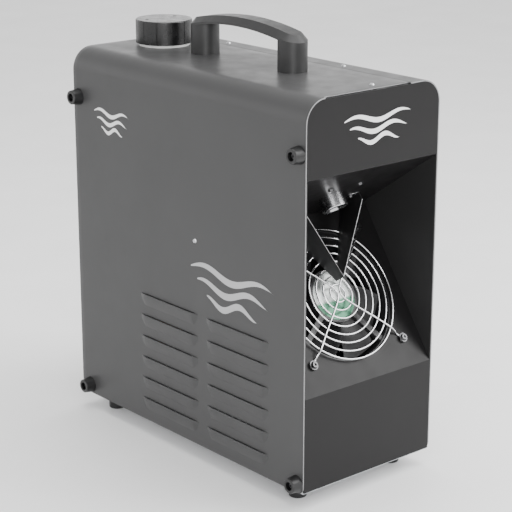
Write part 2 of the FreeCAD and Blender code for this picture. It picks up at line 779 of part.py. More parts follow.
def heater_thermostats():
    """Working thermostat on the block's upper face, safety cut-out on its lower face."""
    s = HEATER_START + 14
    thick = 7.5
    tag_sheet = 0.8
    discs = []
    for face, out in ((HEATER_HIGH, 1), (HEATER_LOW, -1)):
        body = rod(8, V(0, s, face), V(0, s, face + out * thick))
        low = min(face + out * thick, face + out * (thick + tag_sheet))
        tag = box(-1.2, 1.2, s - 10, s + 10, low, low + tag_sheet)
        discs.append(in_recess(join([body, tag])))
    return Part.makeCompound(discs)


# ---- fluid path ----

def level_edges(solid, level):
    return [edge for edge in solid.Edges if abs(edge.CenterOfMass.z - level) < 0.01]


def fluid_tank():
    """Moulded tub and the lid welded on it, with a round hole under the filler neck."""
    corner = 10
    wall = TANK_WALL
    weld = TANK_TOP - LID
    up = V(0, 0, 1)
    outer = rounded_bar(-TANK_HALF, TANK_HALF, TANK_FRONT, TANK_BACK, TANK_BOTTOM, TANK_TOP, corner, up)
    outer = outer.makeFillet(LID, level_edges(outer, TANK_TOP) + level_edges(outer, TANK_BOTTOM))
    inner = rounded_bar(-TANK_HALF + wall, TANK_HALF - wall, TANK_FRONT + wall, TANK_BACK - wall,
                        TANK_BOTTOM + wall, TANK_TOP + 1, corner - wall, up)
    above = box(-TANK_HALF - 1, TANK_HALF + 1, TANK_FRONT - 1, TANK_BACK + 1, weld, TANK_TOP + 1)
    under = V(PUMP_X, OUTLET_Y, TANK_BOTTOM - 1)
    outlet = rod(OUTLET_RADIUS + 0.02, under, under + V(0, 0, 6))
    bore = rod(NECK_BORE, V(0, CAP_Y, weld - 1), V(0, CAP_Y, TANK_TOP + 1))
    tub = outer.cut([above, inner, outlet])
    lid = outer.common(above).cut(bore)
    return Part.makeCompound([tub, lid])


def filler_neck():
    """Threaded neck welded on the tank, and the ring nut that fills the hole in the case's top."""
    neck = tube(NECK_RADIUS, NECK_BORE, V(0, CAP_Y, TANK_TOP), V(0, CAP_Y, NECK_TOP))
    rings = []
    for z in (470.0, 476.0, 482.0):
        rings.append(tube(NECK_RADIUS + THREAD, NECK_BORE, V(0, CAP_Y, z - 0.9), V(0, CAP_Y, z + 0.9)))
    top = CAP_BOTTOM - 0.7
    collar = tube(COLLAR_RADIUS, NECK_RADIUS + 0.05, V(0, CAP_Y, COLLAR_BOTTOM), V(0, CAP_Y, top))
    return Part.makeCompound([join([neck] + rings), collar])


def cap_seal():
    return tube(NECK_RADIUS + 3, NECK_BORE - 0.5, V(0, CAP_Y, NECK_TOP), V(0, CAP_Y, NECK_TOP + SEAL))


def tank_cap():
    """Screw cap with upright grooves in its side and two dimples in its top."""
    body = rod(CAP_RADIUS, V(0, CAP_Y, CAP_BOTTOM), V(0, CAP_Y, CAP_TOP))
    body = body.makeFillet(1.5, level_edges(body, CAP_TOP))
    cuts = [rod(CAP_BORE, V(0, CAP_Y, CAP_BOTTOM - 1), V(0, CAP_Y, CAP_TOP - 3))]
    groove_x = CAP_RADIUS + 0.2
    for index in range(CAP_FLATS):
        groove = rod(1.0, V(groove_x, 0, CAP_BOTTOM - 1), V(groove_x, 0, CAP_TOP + 1))
        groove.rotate(V(0, 0, 0), V(0, 0, 1), 360.0 * index / CAP_FLATS + 8)
        groove.translate(V(0, CAP_Y, 0))
        cuts.append(groove)
    for x in (-22, 22):
        at = V(x, CAP_Y + 6, CAP_TOP)
        cuts.append(rod(2.4, at - V(0, 0, 0.8), at + V(0, 0, 1)))
    return body.cut(cuts)


def tank_shelf():
    """Sheet shelf under the tank with two side legs down to the base."""
    half = TANK_HALF + 6
    front = TANK_FRONT - 4
    back = REAR - 22
    top = TANK_BOTTOM - 0.2
    lip_height = 14
    foot_length = 68
    margin = 18
    shelf = box(-half, half, front, back, top - SHELF, top)
    lip = box(-half, half, front, front + SHELF, top - SHELF, top + lip_height)
    leg = box(-half, -half + SHELF, front, back, SHEET, top)
    foot = box(-half, -half + 14, front, front + foot_length, SHEET, SHEET + SHELF)
    hole = rod(9, V(PUMP_X, OUTLET_Y, top - 4), V(PUMP_X, OUTLET_Y, top + 1))
    window = box(-half - 1, half + 1, front + margin, back - margin, 40, top - 30)
    return join([shelf, lip, leg, foot, mirror_x(leg), mirror_x(foot)]).cut([hole, window])


def tank_strap():
    """Flat band round the front of the tank, screwed to the rear panel's flanges."""
    inner = TANK_HALF + 0.3
    outer = inner + STRAP
    front = TANK_FRONT - 0.3
    back = TANK_BACK - 4
    band = box(-outer, outer, front - STRAP, back, STRAP_LOW, STRAP_HIGH)
    hollow = box(-inner, inner, front, back + 1, STRAP_LOW - 1, STRAP_HIGH + 1)
    flange = -PANEL_HALF + SHEET
    ear = box(flange, -inner, back - STRAP, back, STRAP_LOW, STRAP_HIGH)
    lug = box(flange, flange + STRAP, back - STRAP, REAR - 3, STRAP_LOW, STRAP_HIGH)
    return join([band.cut(hollow), ear, lug, mirror_x(ear), mirror_x(lug)])


def tank_outlet():
    """Brass hose fitting through the tank's floor."""
    z = TANK_BOTTOM
    stem = rod(OUTLET_RADIUS, V(PUMP_X, OUTLET_Y, z), V(PUMP_X, OUTLET_Y, z + 6))
    nut = hex_bar(15, V(PUMP_X, OUTLET_Y, z - 6), V(PUMP_X, OUTLET_Y, z - 0.05))
    waist = rod(4.4, V(PUMP_X, OUTLET_Y, z - 1), V(PUMP_X, OUTLET_Y, z + 1))
    barb = rod(BARB, V(PUMP_X, OUTLET_Y, z - 24), V(PUMP_X, OUTLET_Y, z - 5))
    bore = rod(BARB_BORE, V(PUMP_X, OUTLET_Y, z - 25), V(PUMP_X, OUTLET_Y, z + 7))
    return join([stem, waist, nut, barb]).cut(bore)


def tank_filter():
    """Gauze cup that stands over the outlet inside the tank."""
    radius = 9
    gauze = 1.2
    low = TANK_BOTTOM + 6
    high = low + 26
    at = V(PUMP_X, OUTLET_Y, 0)
    cup = tube(radius, radius - gauze, at + V(0, 0, low), at + V(0, 0, high))
    lid = rod(radius, at + V(0, 0, high - gauze), at + V(0, 0, high))
    floor = tube(radius, 1.6, at + V(0, 0, low), at + V(0, 0, low + gauze))
    return join([cup, lid, floor])


def arc_path(points):
    """Straight runs joined by tangent arcs; each arc is as large as its two runs allow."""
    edges = []
    start = points[0]
    for before, corner, after in zip(points, points[1:], points[2:]):
        into = before - corner
        away = after - corner
        shorter = min(into.Length, away.Length)
        setback = 0.45 * shorter
        into.normalize()
        away.normalize()
        inside = math.pi - into.getAngle(away)
        radius = setback / math.tan(inside / 2)
        first = corner + into * setback
        last = corner + away * setback
        toward = into + away
        toward.normalize()
        middle = corner + toward * (radius / math.cos(inside / 2) - radius)
        edges.append(Part.LineSegment(start, first).toShape())
        edges.append(Part.Arc(first, middle, last).toShape())
        start = last
    edges.append(Part.LineSegment(start, points[-1]).toShape())
    return Part.Wire(edges)


def hose(points):
    path = arc_path(points)
    along = points[1] - points[0]
    skins = []
    for radius in (HOSE_RADIUS, HOSE_BORE):
        ring = Part.Wire(Part.makeCircle(radius, points[0], along))
        skins.append(path.makePipeShell([ring], True, True))
    return skins[0].cut(skins[1])


def suction_hose():
    top = TANK_BOTTOM - 7
    return hose([
        V(PUMP_X, OUTLET_Y, top),
        V(PUMP_X, OUTLET_Y, top - 34),
        V(PUMP_X, PUMP_Y, top - 58),
        V(PUMP_X, PUMP_Y, 132),
    ])


def pressure_hose():
    end = recess_point(0, HEATER_INLET_S, HEATER_LOW - 9)
    ahead = recess_point(0, HEATER_INLET_S, HEATER_LOW - 62)
    return hose([
        V(PUMP_X, PUMP_Y - 17, OUTLET_Z),
        V(PUMP_X, PUMP_Y - 68, OUTLET_Z),
        V(PUMP_X, PUMP_Y - 105, 96),
        V(PUMP_X + 4, PUMP_Y - 118, 150),
        V(PUMP_X + 14, PUMP_Y - 122, 210),
        V(PUMP_X + 30, PUMP_Y - 124, 270),
        V(ahead.x - 4, ahead.y + 10, ahead.z - 34),
        ahead,
        end,
    ])


def pump_point(z, ahead=0.0):
    """Point on the pump's upright axis, or ahead of it toward the front."""
    return V(PUMP_X, PUMP_Y - ahead, z)


def pump_body():
    """Plastic core of the pump with its inlet at the top and its outlet at the front."""
    core = rod(CORE_RADIUS, pump_point(72), pump_point(128))
    head = rod(14, pump_point(52), pump_point(80))
    inlet = rod(BARB, pump_point(127), pump_point(145))
    shoulder = rod(6, pump_point(127), pump_point(130))
    outlet = rod(BARB, pump_point(OUTLET_Z, 13), pump_point(OUTLET_Z, 31))
    boss = rod(5, pump_point(OUTLET_Z, 10), pump_point(OUTLET_Z, 16.5))
    cuts = [rod(PUMP_BORE, pump_point(68), pump_point(124))]
    cuts.append(rod(BARB_BORE, pump_point(120), pump_point(146)))
    cuts.append(rod(BARB_BORE, pump_point(60), pump_point(70)))
    cuts.append(rod(BARB_BORE, pump_point(OUTLET_Z), pump_point(OUTLET_Z, 32)))
    return join([core, head, inlet, shoulder, outlet, boss]).cut(cuts)


def pump_coil():
    x = PUMP_X
    y = PUMP_Y
    low = YOKE_LOW + YOKE
    high = YOKE_HIGH - YOKE
    block = rounded_bar(x - COIL_HALF, x + COIL_HALF, y - 17, y + 17, low, high, 4, V(0, 0, 1))
    return block.cut(rod(CORE_RADIUS + 0.02, pump_point(80), pump_point(125)))


def pump_frame():
    """Steel yoke round the coil, with the foot that bolts it to the base."""
    x0 = PUMP_X - COIL_HALF
    x1 = PUMP_X + COIL_HALF
    front = PUMP_Y - 17
    back = PUMP_Y + 17
    plate = box(x0, x1, back, back + YOKE, SHEET, YOKE_HIGH)
    top = box(x0, x1, front, back + YOKE, YOKE_HIGH - YOKE, YOKE_HIGH)
    bottom = box(x0, x1, front, back + YOKE, YOKE_LOW, YOKE_LOW + YOKE)
    foot = box(x0, x1, back, back + 24, SHEET, SHEET + YOKE)
    bore = rod(CORE_RADIUS + 0.02, pump_point(80), pump_point(125))
    return join([plate, top, bottom, foot]).cut(bore)


def pump_piston():
    body = rod(PISTON_RADIUS, pump_point(90), pump_point(118))
    return body.cut(rod(1.5, pump_point(89), pump_point(119)))


def pump_spring():
    wire = 0.5
    coil = 4.6
    low = 68.6
    high = 89.4
    pitch = 2.6
    helix = Part.makeHelix(pitch, high - low, coil)
    ring = Part.Wire(Part.makeCircle(wire, V(coil, 0, 0), V(0, 1, 0)))
    spring = Part.Wire(helix.Edges).makePipeShell([ring], True, True)
    spring.translate(V(PUMP_X, PUMP_Y, low))
    return spring


# ---- electronics and rear fittings ----

def control_board():
    """Board behind the rear panel with its chips, key switches, posts and display."""
    front = REAR - 14.6
    low = 334
    high = 404
    half = 62
    board = box(-half, half, front - 1.6, front, low, high)
    solder = front - 1.5
    chips = [
        box(-52, -32, front - 4.5, solder, 350, 366),
        box(-10, 6, front - 4, solder, 344, 356),
        box(20, 50, front - 6, solder, 384, 396),
    ]
    switches = []
    for x in BUTTON_XS:
        switches.append(box(x - 3, x + 3, front - FIT, REAR - 10.1, BUTTON_Z - 3, BUTTON_Z + 3))
    posts = []
    for x in (-half + 5, half - 5):
        for z in (low + 5, high - 5):
            posts.append(rod(3, V(x, front, z), V(x, REAR - SHEET, z)))
    display = box(-25, 25, front - FIT, REAR - 4, DISPLAY_Z - 10, DISPLAY_Z + 10)
    return join([board, display] + chips + switches + posts)


def display_window():
    lens = rounded_bar(-29, 29, REAR, REAR + 1.0, DISPLAY_Z - 14, DISPLAY_Z + 14, 2, V(0, 1, 0))
    step = box(-26, 26, REAR - 1.4, REAR + 0.1, DISPLAY_Z - 11, DISPLAY_Z + 11)
    return join([lens, step])


def button(x):
    cap = rod(BUTTON_RADIUS, V(x, REAR - 9, BUTTON_Z), V(x, REAR + 2.2, BUTTON_Z))
    front = [edge for edge in cap.Edges if abs(edge.CenterOfMass.y - REAR - 2.2) < 0.01]
    cap = cap.makeFillet(0.6, front)
    flange = rod(5.4, V(x, REAR - 3.4, BUTTON_Z), V(x, REAR - 1.8, BUTTON_Z))
    return join([cap, flange])


def power_board():
    """Supply board on four posts: transformer, capacitors, relay, heat sink and terminals."""
    low = 12
    x0, x1, y0, y1 = 6, 94, 178, 318
    board = box(x0, x1, y0, y1, low, low + 1.6)
    top = low + 1.5
    parts = [box(16, 46, 186, 216, top, 40)]
    for y in (204, 228):
        parts.append(rod(9, V(66, y, top), V(66, y, 44)))
    parts.append(box(14, 38, 232, 262, top, 32))
    parts.append(box(50, 88, 250, 258, top, 52))
    parts.append(box(14, 84, 290, 304, top, 27))
    posts = []
    for x in (x0 + 5, x1 - 5):
        for y in (y0 + 5, y1 - 5):
            posts.append(rod(3, V(x, y, SHEET), V(x, y, low + FIT)))
    return join([board] + parts + posts)


def switch_housing():
    x = SWITCH_X
    z = POWER_Z
    flange = rounded_bar(x - 15.5, x + 15.5, REAR, REAR + 1.8, z - 12.5, z + 12.5, 2, V(0, 1, 0))
    body = box(x - 13.4, x + 13.4, REAR - 20, REAR + FIT, z - 10.4, z + 10.4)
    well = box(x - 12.4, x + 12.4, REAR - 11, REAR + 3, z - 8, z + 8)
    pivot = rod(1.55, V(x, PIVOT_Y, z - 9.7), V(x, PIVOT_Y, z + 9.7))
    blades = [box(x - dx - 3, x - dx + 3, REAR - 28, REAR - 19.9, z - 0.4, z + 0.4) for dx in (-8, 0, 8)]
    return join([flange, body] + blades).cut([well, pivot])


def power_rocker():
    """Paddle with a shallow V in its face, at rest with one side pressed in."""
    x = SWITCH_X
    half = 11.6
    low = POWER_Z - 7.6
    rise = 15.2
    high = REAR + 3.4
    corners = [
        (x - half, REAR - 4, low),
        (x - half, high, low),
        (x, high - 2.2, low),
        (x + half, high, low),
        (x + half, REAR - 4, low),
        (x, REAR - 6, low),
    ]
    paddle = polygon(corners).extrude(V(0, 0, rise))
    pin = rod(1.5, V(x, PIVOT_Y, POWER_Z - 9.5), V(x, PIVOT_Y, POWER_Z + 9.5))
    rocker = join([paddle, pin])
    rocker.rotate(V(x, PIVOT_Y, POWER_Z), V(0, 0, 1), 7)
    return rocker


def mains_inlet():
    """Three-pin inlet above the pocket for the fuse drawer."""
    x = INLET_X
    z = POWER_Z
    flange = rounded_bar(x - 16.5, x + 16.5, REAR, REAR + 2, z - 24.5, z + 18.5, 3, V(0, 1, 0))
    body = box(x - 14, x + 14, REAR - 28, REAR + FIT, z - 22, z + 16)
    socket = rounded_bar(x - 12.2, x + 12.2, REAR - SOCKET_DEPTH, REAR + 3, z - 4.5, z + 12, 3, V(0, 1, 0))
    tray = box(x - 11.3, x + 11.3, REAR - 24, REAR + 3, FUSE_Z - 5.3, FUSE_Z + 5.3)
    return join([flange, body]).cut([socket, tray])


def socket_pins():
    """Three flat pins of the mains inlet and three round pins of the control inlet."""
    pins = []
    for dx, dz in ((-7, 1.5), (0, 5.5), (7, 1.5)):
        x = INLET_X + dx
        z = POWER_Z + dz
        pins.append(box(x - 1, x + 1, REAR - SOCKET_DEPTH, REAR - 1.5, z - 2, z + 2))
    for index in range(3):
        angle = math.radians(270 + 120 * index)
        x = DATA_X + PIN_CIRCLE * math.cos(angle)
        z = DATA_Z + PIN_CIRCLE * math.sin(angle)
        pins.append(rod(1.15, V(x, REAR - 15, z), V(x, REAR - 3, z)))
    return Part.makeCompound(pins)


def fuse_drawer():
    x = INLET_X
    z = FUSE_Z
    tray = box(x - 11, x + 11, REAR - 23, REAR + 3, z - 5, z + 5)
    pocket = box(x - 9.6, x + 9.6, REAR - 20, REAR - 2, z - 3.6, z + 6)
    notch = box(x - 4, x + 4, REAR + 1.6, REAR + 4, z + 3, z + 6)
    return tray.cut([pocket, notch])


def fuse():
    x = INLET_X
    y = REAR - 11
    z = FUSE_Z - 0.8
    glass = rod(2.2, V(x - 9, y, z), V(x + 9, y, z))
    ends = [rod(2.6, V(x + side * 9.4, y, z), V(x + side * 4.6, y, z)) for side in (-1, 1)]
    return join([glass] + ends)


def data_flange(x):
    plate = rounded_bar(x - 13, x + 13, REAR, REAR + 2, DATA_Z - 15.5, DATA_Z + 15.5, 3, V(0, 1, 0))
    shell = rod(DATA_SHELL, V(x, REAR - 22, DATA_Z), V(x, REAR + FIT, DATA_Z))
    screws = []
    for side in (-1, 1):
        at = V(x + side * 9.5, REAR + 1.9, DATA_Z + side * 12)
        screws.append(rod(2.4, at, at + V(0, 1.3, 0)))
    return join([plate, shell] + screws)


def data_out():
    """Socket with a raised middle insert and a ring-shaped gap round it."""
    x = -DATA_X
    ring = tube(9.8, 7.6, V(x, REAR - 15, DATA_Z), V(x, REAR + 4, DATA_Z))
    cuts = [ring]
    for index in range(3):
        angle = math.radians(90 + 120 * index)
        px = x + PIN_CIRCLE * math.cos(angle)
        pz = DATA_Z + PIN_CIRCLE * math.sin(angle)
        cuts.append(rod(1.2, V(px, REAR - 12, pz), V(px, REAR + 4, pz)))
    cuts.append(box(x - 4.2, x + 4.2, REAR - 6, REAR + 4, DATA_Z + 8, DATA_Z + 13.4))
    return data_flange(x).cut(cuts)


def data_latch():
    x = -DATA_X
    return box(x - 3.8, x + 3.8, REAR - 4, REAR + REAR_PROUD, DATA_Z + 10.1, DATA_Z + 13.1)


def data_in():
    """Socket that is an open cup with three pins."""
    cup = rod(9.6, V(DATA_X, REAR - 15, DATA_Z), V(DATA_X, REAR + 4, DATA_Z))
    return data_flange(DATA_X).cut(cup)





def remote_socket():
    z = REMOTE_Z
    shell = rod(9, V(0, REAR - 14, z), V(0, REAR + FIT, z))
    flange = rod(11.5, V(0, REAR, z), V(0, REAR + 2, z))
    cup = tube(8.0, 3.0, V(0, REAR - 9, z), V(0, REAR + 3, z))
    return join([flange, shell]).cut(cup)


# ---- handle, bumpers, feet and screws ----

def handle():
    """Bridge handle: arched grip with sloping upper edges on two round posts."""
    half = HANDLE_SPAN / 2
    reach = half + POST_RADIUS
    base = CASE_HEIGHT
    low = base + HANDLE_END
    apex = base + HANDLE_APEX
    upper = [V(0, -reach, low), V(0, 0, apex), V(0, reach, low)]
    down = V(0, 0, GRIP_THICK)
    lower = [upper[2] - down, upper[1] - down, upper[0] - down]
    edges = [
        Part.Arc(upper[0], upper[1], upper[2]).toShape(),
        Part.LineSegment(upper[2], lower[0]).toShape(),
        Part.Arc(lower[0], lower[1], lower[2]).toShape(),
        Part.LineSegment(lower[2], upper[0]).toShape(),
    ]
    width = 2 * POST_RADIUS
    band = Part.Face(Part.Wire(edges)).extrude(V(width, 0, 0))
    band.translate(V(-POST_RADIUS, 0, 0))
    plan = box(-POST_RADIUS, POST_RADIUS, -half, half, base, apex + 1)
    ends = [rod(POST_RADIUS, V(0, y, base), V(0, y, apex + 1)) for y in (-half, half)]
    grip = band.common(join([plan] + ends))
    posts = []
    for y in (-half, half):
        post = rod(POST_RADIUS, V(0, y, base), V(0, y, apex))
        posts.append(post.common(under_arch(upper, base, width)))
    whole = join([grip] + posts)
    top = [edge for edge in whole.Edges if is_top_edge(edge, low - 2)]
    whole = whole.makeChamfer(HANDLE_BEVEL, top)
    holes = [rod(M6_CLEAR, V(0, y, base - 1), V(0, y, base + 22)) for y in (-half, half)]
    whole = whole.cut(holes)
    whole.translate(V(0, CENTRE_Y, 0))
    return whole


def under_arch(upper, base, width):
    edges = [
        Part.Arc(upper[0], upper[1], upper[2]).toShape(),
        Part.LineSegment(upper[2], V(0, upper[2].y, base)).toShape(),
        Part.LineSegment(V(0, upper[2].y, base), V(0, upper[0].y, base)).toShape(),
        Part.LineSegment(V(0, upper[0].y, base), upper[0]).toShape(),
    ]
    solid = Part.Face(Part.Wire(edges)).extrude(V(width, 0, 0))
    solid.translate(V(-width / 2, 0, 0))
    return solid


def is_top_edge(edge, level):
    return min(vertex.Point.z for vertex in edge.Vertexes) > level


def handle_screws():
    screws = []
    under = CASE_HEIGHT - SHEET
    for y in (CENTRE_Y - HANDLE_SPAN / 2, CENTRE_Y + HANDLE_SPAN / 2):
        washer = rod(8, V(0, y, under - 1.2), V(0, y, under))
        head = hex_bar(10, V(0, y, under - 5.2), V(0, y, under - 1.1))
        shank = rod(M6, V(0, y, under - 1), V(0, y, CASE_HEIGHT + 20))
        screws.append(join([washer, head, shank]))
    return Part.makeCompound(screws)


def bumper(y, z):
    """Rubber cone on the -X side, with a deep round seat for its screw."""
    out = -HALF_WIDTH
    end = out - BUMPER_DEPTH
    body = cone(10.5, 8.75, V(out, y, z), V(end, y, z))
    rim = [edge for edge in body.Edges if abs(edge.CenterOfMass.x - end) < 0.01]
    body = body.makeFillet(1.0, rim)
    recess = rod(SCREW_SEAT, V(end - 1, y, z), V(out - BUMPER_FLOOR, y, z))
    hole = rod(M4_CLEAR, V(out - BUMPER_FLOOR - 1, y, z), V(out + 1, y, z))
    return body.cut([recess, hole])


def bumper_screw(y, z):
    seat = -HALF_WIDTH - BUMPER_FLOOR
    head = cone(3.2, 4.4, V(seat - 3, y, z), V(seat, y, z))
    socket = rod(1.5, V(seat - 4, y, z), V(seat - 1.4, y, z))
    shank = rod(M4, V(seat - 0.5, y, z), V(seat + 15, y, z))
    return join([head, shank]).cut(socket)


def side_bumpers():
    return Part.makeCompound([bumper(y, z) for y, z in BUMPER_PLACES])


def feet():
    shapes = []
    for x, y in FOOT_PLACES:
        body = cone(11.7, 10.6, V(x, y, 0), V(x, y, -FOOT_HEIGHT))
        body = body.makeFillet(1.2, level_edges(body, -FOOT_HEIGHT))
        recess = rod(SCREW_SEAT, V(x, y, -FOOT_HEIGHT - 1), V(x, y, -FOOT_FLOOR))
        hole = rod(M4_CLEAR, V(x, y, -FOOT_FLOOR - 1), V(x, y, 1))
        shapes.append(body.cut([recess, hole]))
    return Part.makeCompound(shapes)


def foot_screw(x, y):
    seat = -FOOT_FLOOR
    head = cone(3.2, 4.4, V(x, y, seat - 3), V(x, y, seat))
    socket = rod(1.5, V(x, y, seat - 4), V(x, y, seat - 1.4))
    shank = rod(M4, V(x, y, seat - 0.5), V(x, y, 9))
    nut = hex_bar(7, V(x, y, SHEET), V(x, y, SHEET + 3))
    return join([head, shank, nut]).cut(socket)


def rubber_screws():
    """The screws that hold the side bumpers and the feet."""
    screws = [bumper_screw(y, z) for y, z in BUMPER_PLACES]
    return Part.makeCompound(screws + [foot_screw(x, y) for x, y in FOOT_PLACES])


def small_screw(seat, outward):
    head = cone(2.9, 2.1, seat, seat + outward * 1.5)
    socket = rod(1.0, seat + outward * 0.7, seat + outward * 2)
    shank = rod(M3, seat - outward * 6, seat + outward * 0.5)
    return join([head, shank]).cut(socket)


def pan_screw(seat, outward):
    head = cone(4.2, 3.2, seat, seat + outward * 1.8)
    socket = rod(1.3, seat + outward * 0.8, seat + outward * 3)
    shank = rod(M4, seat - outward * 9, seat + outward * 0.5)
    return join([head, shank]).cut(socket)


def case_screws():
    """Low screws on top and on the sides; the +X side has them in place of bumpers."""
    top = V(0, 0, 1)
    screws = [small_screw(V(SEAM_SCREW_X, y, CASE_HEIGHT), top) for y in SEAM_SCREWS]
    screws.append(small_screw(V(FRONT_SCREW[0], FRONT_SCREW[1], CASE_HEIGHT), top))
    for side in (-1, 1):
        seat = V(side * HALF_WIDTH, SIDE_SCREW[0], SIDE_SCREW[1])
        screws.append(small_screw(seat, V(side, 0, 0)))
    for y, z in BUMPER_PLACES:
        screws.append(pan_screw(V(HALF_WIDTH, y, z), V(1, 0, 0)))
    return Part.makeCompound(screws)


def save(name, shape):
    placed = shape.copy()
    placed.translate(ROW_OFFSET)
    placed.exportStep(os.path.join("parts", name + ".step"))
    solids = placed.Solids
    if not placed.isValid() or not solids:
        print("PROBLEM", name, "valid", placed.isValid(), "solids", len(solids))
    print(name, "solids", len(solids), "volume cm3", round(placed.Volume / 1000, 2))


def main():
    os.makedirs("parts", exist_ok=True)
    makers = [
        cover_left, cover_right, base_pan, nozzle_panel, fan_panel, rear_panel,
        fan_frame, fan_label, fan_stator, fan_impeller, fan_guard, guard_screws,
        nozzle, fog_deflector, nozzle_panel_screws, heater_block,
        heater_cartridges, heater_brackets, heater_jacket, heater_inlet,
        heater_thermostats, fluid_tank, filler_neck, cap_seal, tank_cap, tank_shelf, tank_strap,
        tank_outlet, tank_filter, suction_hose, pressure_hose, pump_body, pump_coil,
        pump_frame, pump_piston, pump_spring, control_board,
        display_window, power_board, switch_housing, power_rocker, mains_inlet,
        socket_pins, fuse_drawer, fuse, data_out, data_latch, data_in,
        remote_socket, handle, handle_screws, side_bumpers, rubber_screws, feet,
        case_screws,
    ]
    for make in makers:
        save(make.__name__, make())
    cheek = recess_cheek()
    save("recess_cheeks", Part.makeCompound([cheek, mirror_x(cheek)]))
    for index, x in enumerate(BUTTON_XS, start=1):
        save("button_%d" % index, button(x))


main()
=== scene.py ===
import json
import math

import bmesh
import bpy
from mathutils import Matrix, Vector


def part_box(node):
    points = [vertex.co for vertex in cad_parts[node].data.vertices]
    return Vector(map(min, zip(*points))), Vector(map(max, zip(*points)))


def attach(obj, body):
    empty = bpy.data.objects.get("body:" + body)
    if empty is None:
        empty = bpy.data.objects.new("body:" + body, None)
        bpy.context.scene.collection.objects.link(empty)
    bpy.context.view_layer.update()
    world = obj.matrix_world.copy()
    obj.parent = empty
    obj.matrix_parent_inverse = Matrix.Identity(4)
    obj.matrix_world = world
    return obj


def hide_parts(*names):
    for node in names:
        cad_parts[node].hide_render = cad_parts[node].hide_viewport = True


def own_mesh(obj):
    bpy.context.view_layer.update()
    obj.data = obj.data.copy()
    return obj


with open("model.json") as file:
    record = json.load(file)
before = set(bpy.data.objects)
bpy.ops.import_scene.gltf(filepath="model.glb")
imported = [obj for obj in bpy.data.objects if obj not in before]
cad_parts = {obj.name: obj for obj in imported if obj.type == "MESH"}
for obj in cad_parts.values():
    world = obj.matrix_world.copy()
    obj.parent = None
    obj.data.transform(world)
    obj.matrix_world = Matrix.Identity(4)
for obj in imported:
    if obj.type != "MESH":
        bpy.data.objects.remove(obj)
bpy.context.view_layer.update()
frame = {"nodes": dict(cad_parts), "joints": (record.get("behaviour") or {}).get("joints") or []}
MM = 0.001

# ---- places read from the frame ----

LEFT_LOW, LEFT_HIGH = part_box("cover_left")
FRONT_Y = LEFT_LOW.y
REAR_Y = LEFT_HIGH.y
CASE_BOTTOM = LEFT_LOW.z
CASE_TOP = LEFT_HIGH.z
CASE_LENGTH = REAR_Y - FRONT_Y
CASE_HEIGHT = CASE_TOP - CASE_BOTTOM
SHEET = 1.5 * MM
CASE_MIDDLE = (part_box("recess_cheeks")[0].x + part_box("recess_cheeks")[1].x) / 2
HALF_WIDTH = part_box("recess_cheeks")[1].x + SHEET - CASE_MIDDLE
CORNER = 28 * MM
JOINTS = {joint["name"]: joint for joint in frame["joints"]}
FAN_AXIS = Vector(JOINTS["fan_spin"]["axis"]).normalized()
FAN_UP = Vector((0, FAN_AXIS.z, -FAN_AXIS.y))
FAN_PLATE = Vector(JOINTS["fan_spin"]["pos_m"]) + 20 * MM * FAN_AXIS


def on_plate(x, up, out):
    """A point given from the fan's middle: across, up the tilted plate, and out of it."""
    return FAN_PLATE + Vector((x, 0, 0)) + up * FAN_UP + out * FAN_AXIS


# ---- node material helpers ----

def new_material(name):
    """An empty node material: the material, its tree and its shader."""
    material = bpy.data.materials.new(name)
    material.use_nodes = True
    tree = material.node_tree
    shader = tree.nodes["Principled BSDF"]
    return material, tree, shader


def coordinates(tree, stretch=(1, 1, 1)):
    """Object coordinates, which are metres in the row frame, with an optional stretch."""
    source = tree.nodes.new("ShaderNodeTexCoord")
    mapping = tree.nodes.new("ShaderNodeMapping")
    mapping.inputs["Scale"].default_value = stretch
    tree.links.new(source.outputs["Object"], mapping.inputs["Vector"])
    return mapping.outputs["Vector"]


def noise(tree, vector, scale, detail=3.0, rough=0.5):
    """Noise height; the scale is in waves per metre."""
    node = tree.nodes.new("ShaderNodeTexNoise")
    node.inputs["Scale"].default_value = scale
    node.inputs["Detail"].default_value = detail
    node.inputs["Roughness"].default_value = rough
    tree.links.new(vector, node.inputs["Vector"])
    return node.outputs["Fac"]


def ramp(tree, value, stops):
    """Colour ramp; stops are (position, colour or grey level)."""
    node = tree.nodes.new("ShaderNodeValToRGB")
    elements = node.color_ramp.elements
    while len(elements) < len(stops):
        elements.new(0.5)
    for element, (position, level) in zip(elements, stops):
        element.position = position
        if isinstance(level, (int, float)):
            level = (level, level, level)
        element.color = (level[0], level[1], level[2], 1)
    tree.links.new(value, node.inputs["Fac"])
    return node.outputs["Color"]


def blend_colours(tree, factor, first, second):
    node = tree.nodes.new("ShaderNodeMix")
    node.data_type = "RGBA"
    for socket, value in ((node.inputs[6], first), (node.inputs[7], second)):
        if isinstance(value, tuple):
            socket.default_value = value + (1,)
        else:
            tree.links.new(value, socket)
    tree.links.new(factor, node.inputs[0])
    return node.outputs[2]


def bump(tree, shader, heights):
    """Chain of bumps; heights are (height output, strength, distance in metres)."""
    last = None
    for height, strength, distance in heights:
        node = tree.nodes.new("ShaderNodeBump")
        node.inputs["Strength"].default_value = strength
        node.inputs["Distance"].default_value = distance
        tree.links.new(height, node.inputs["Height"])
        if last is not None:
            tree.links.new(last, node.inputs["Normal"])
        last = node.outputs["Normal"]
    tree.links.new(last, shader.inputs["Normal"])


def shade(colour, factor):
    """The colour made darker or paler."""
    return tuple(min(1.0, channel * factor) for channel in colour)


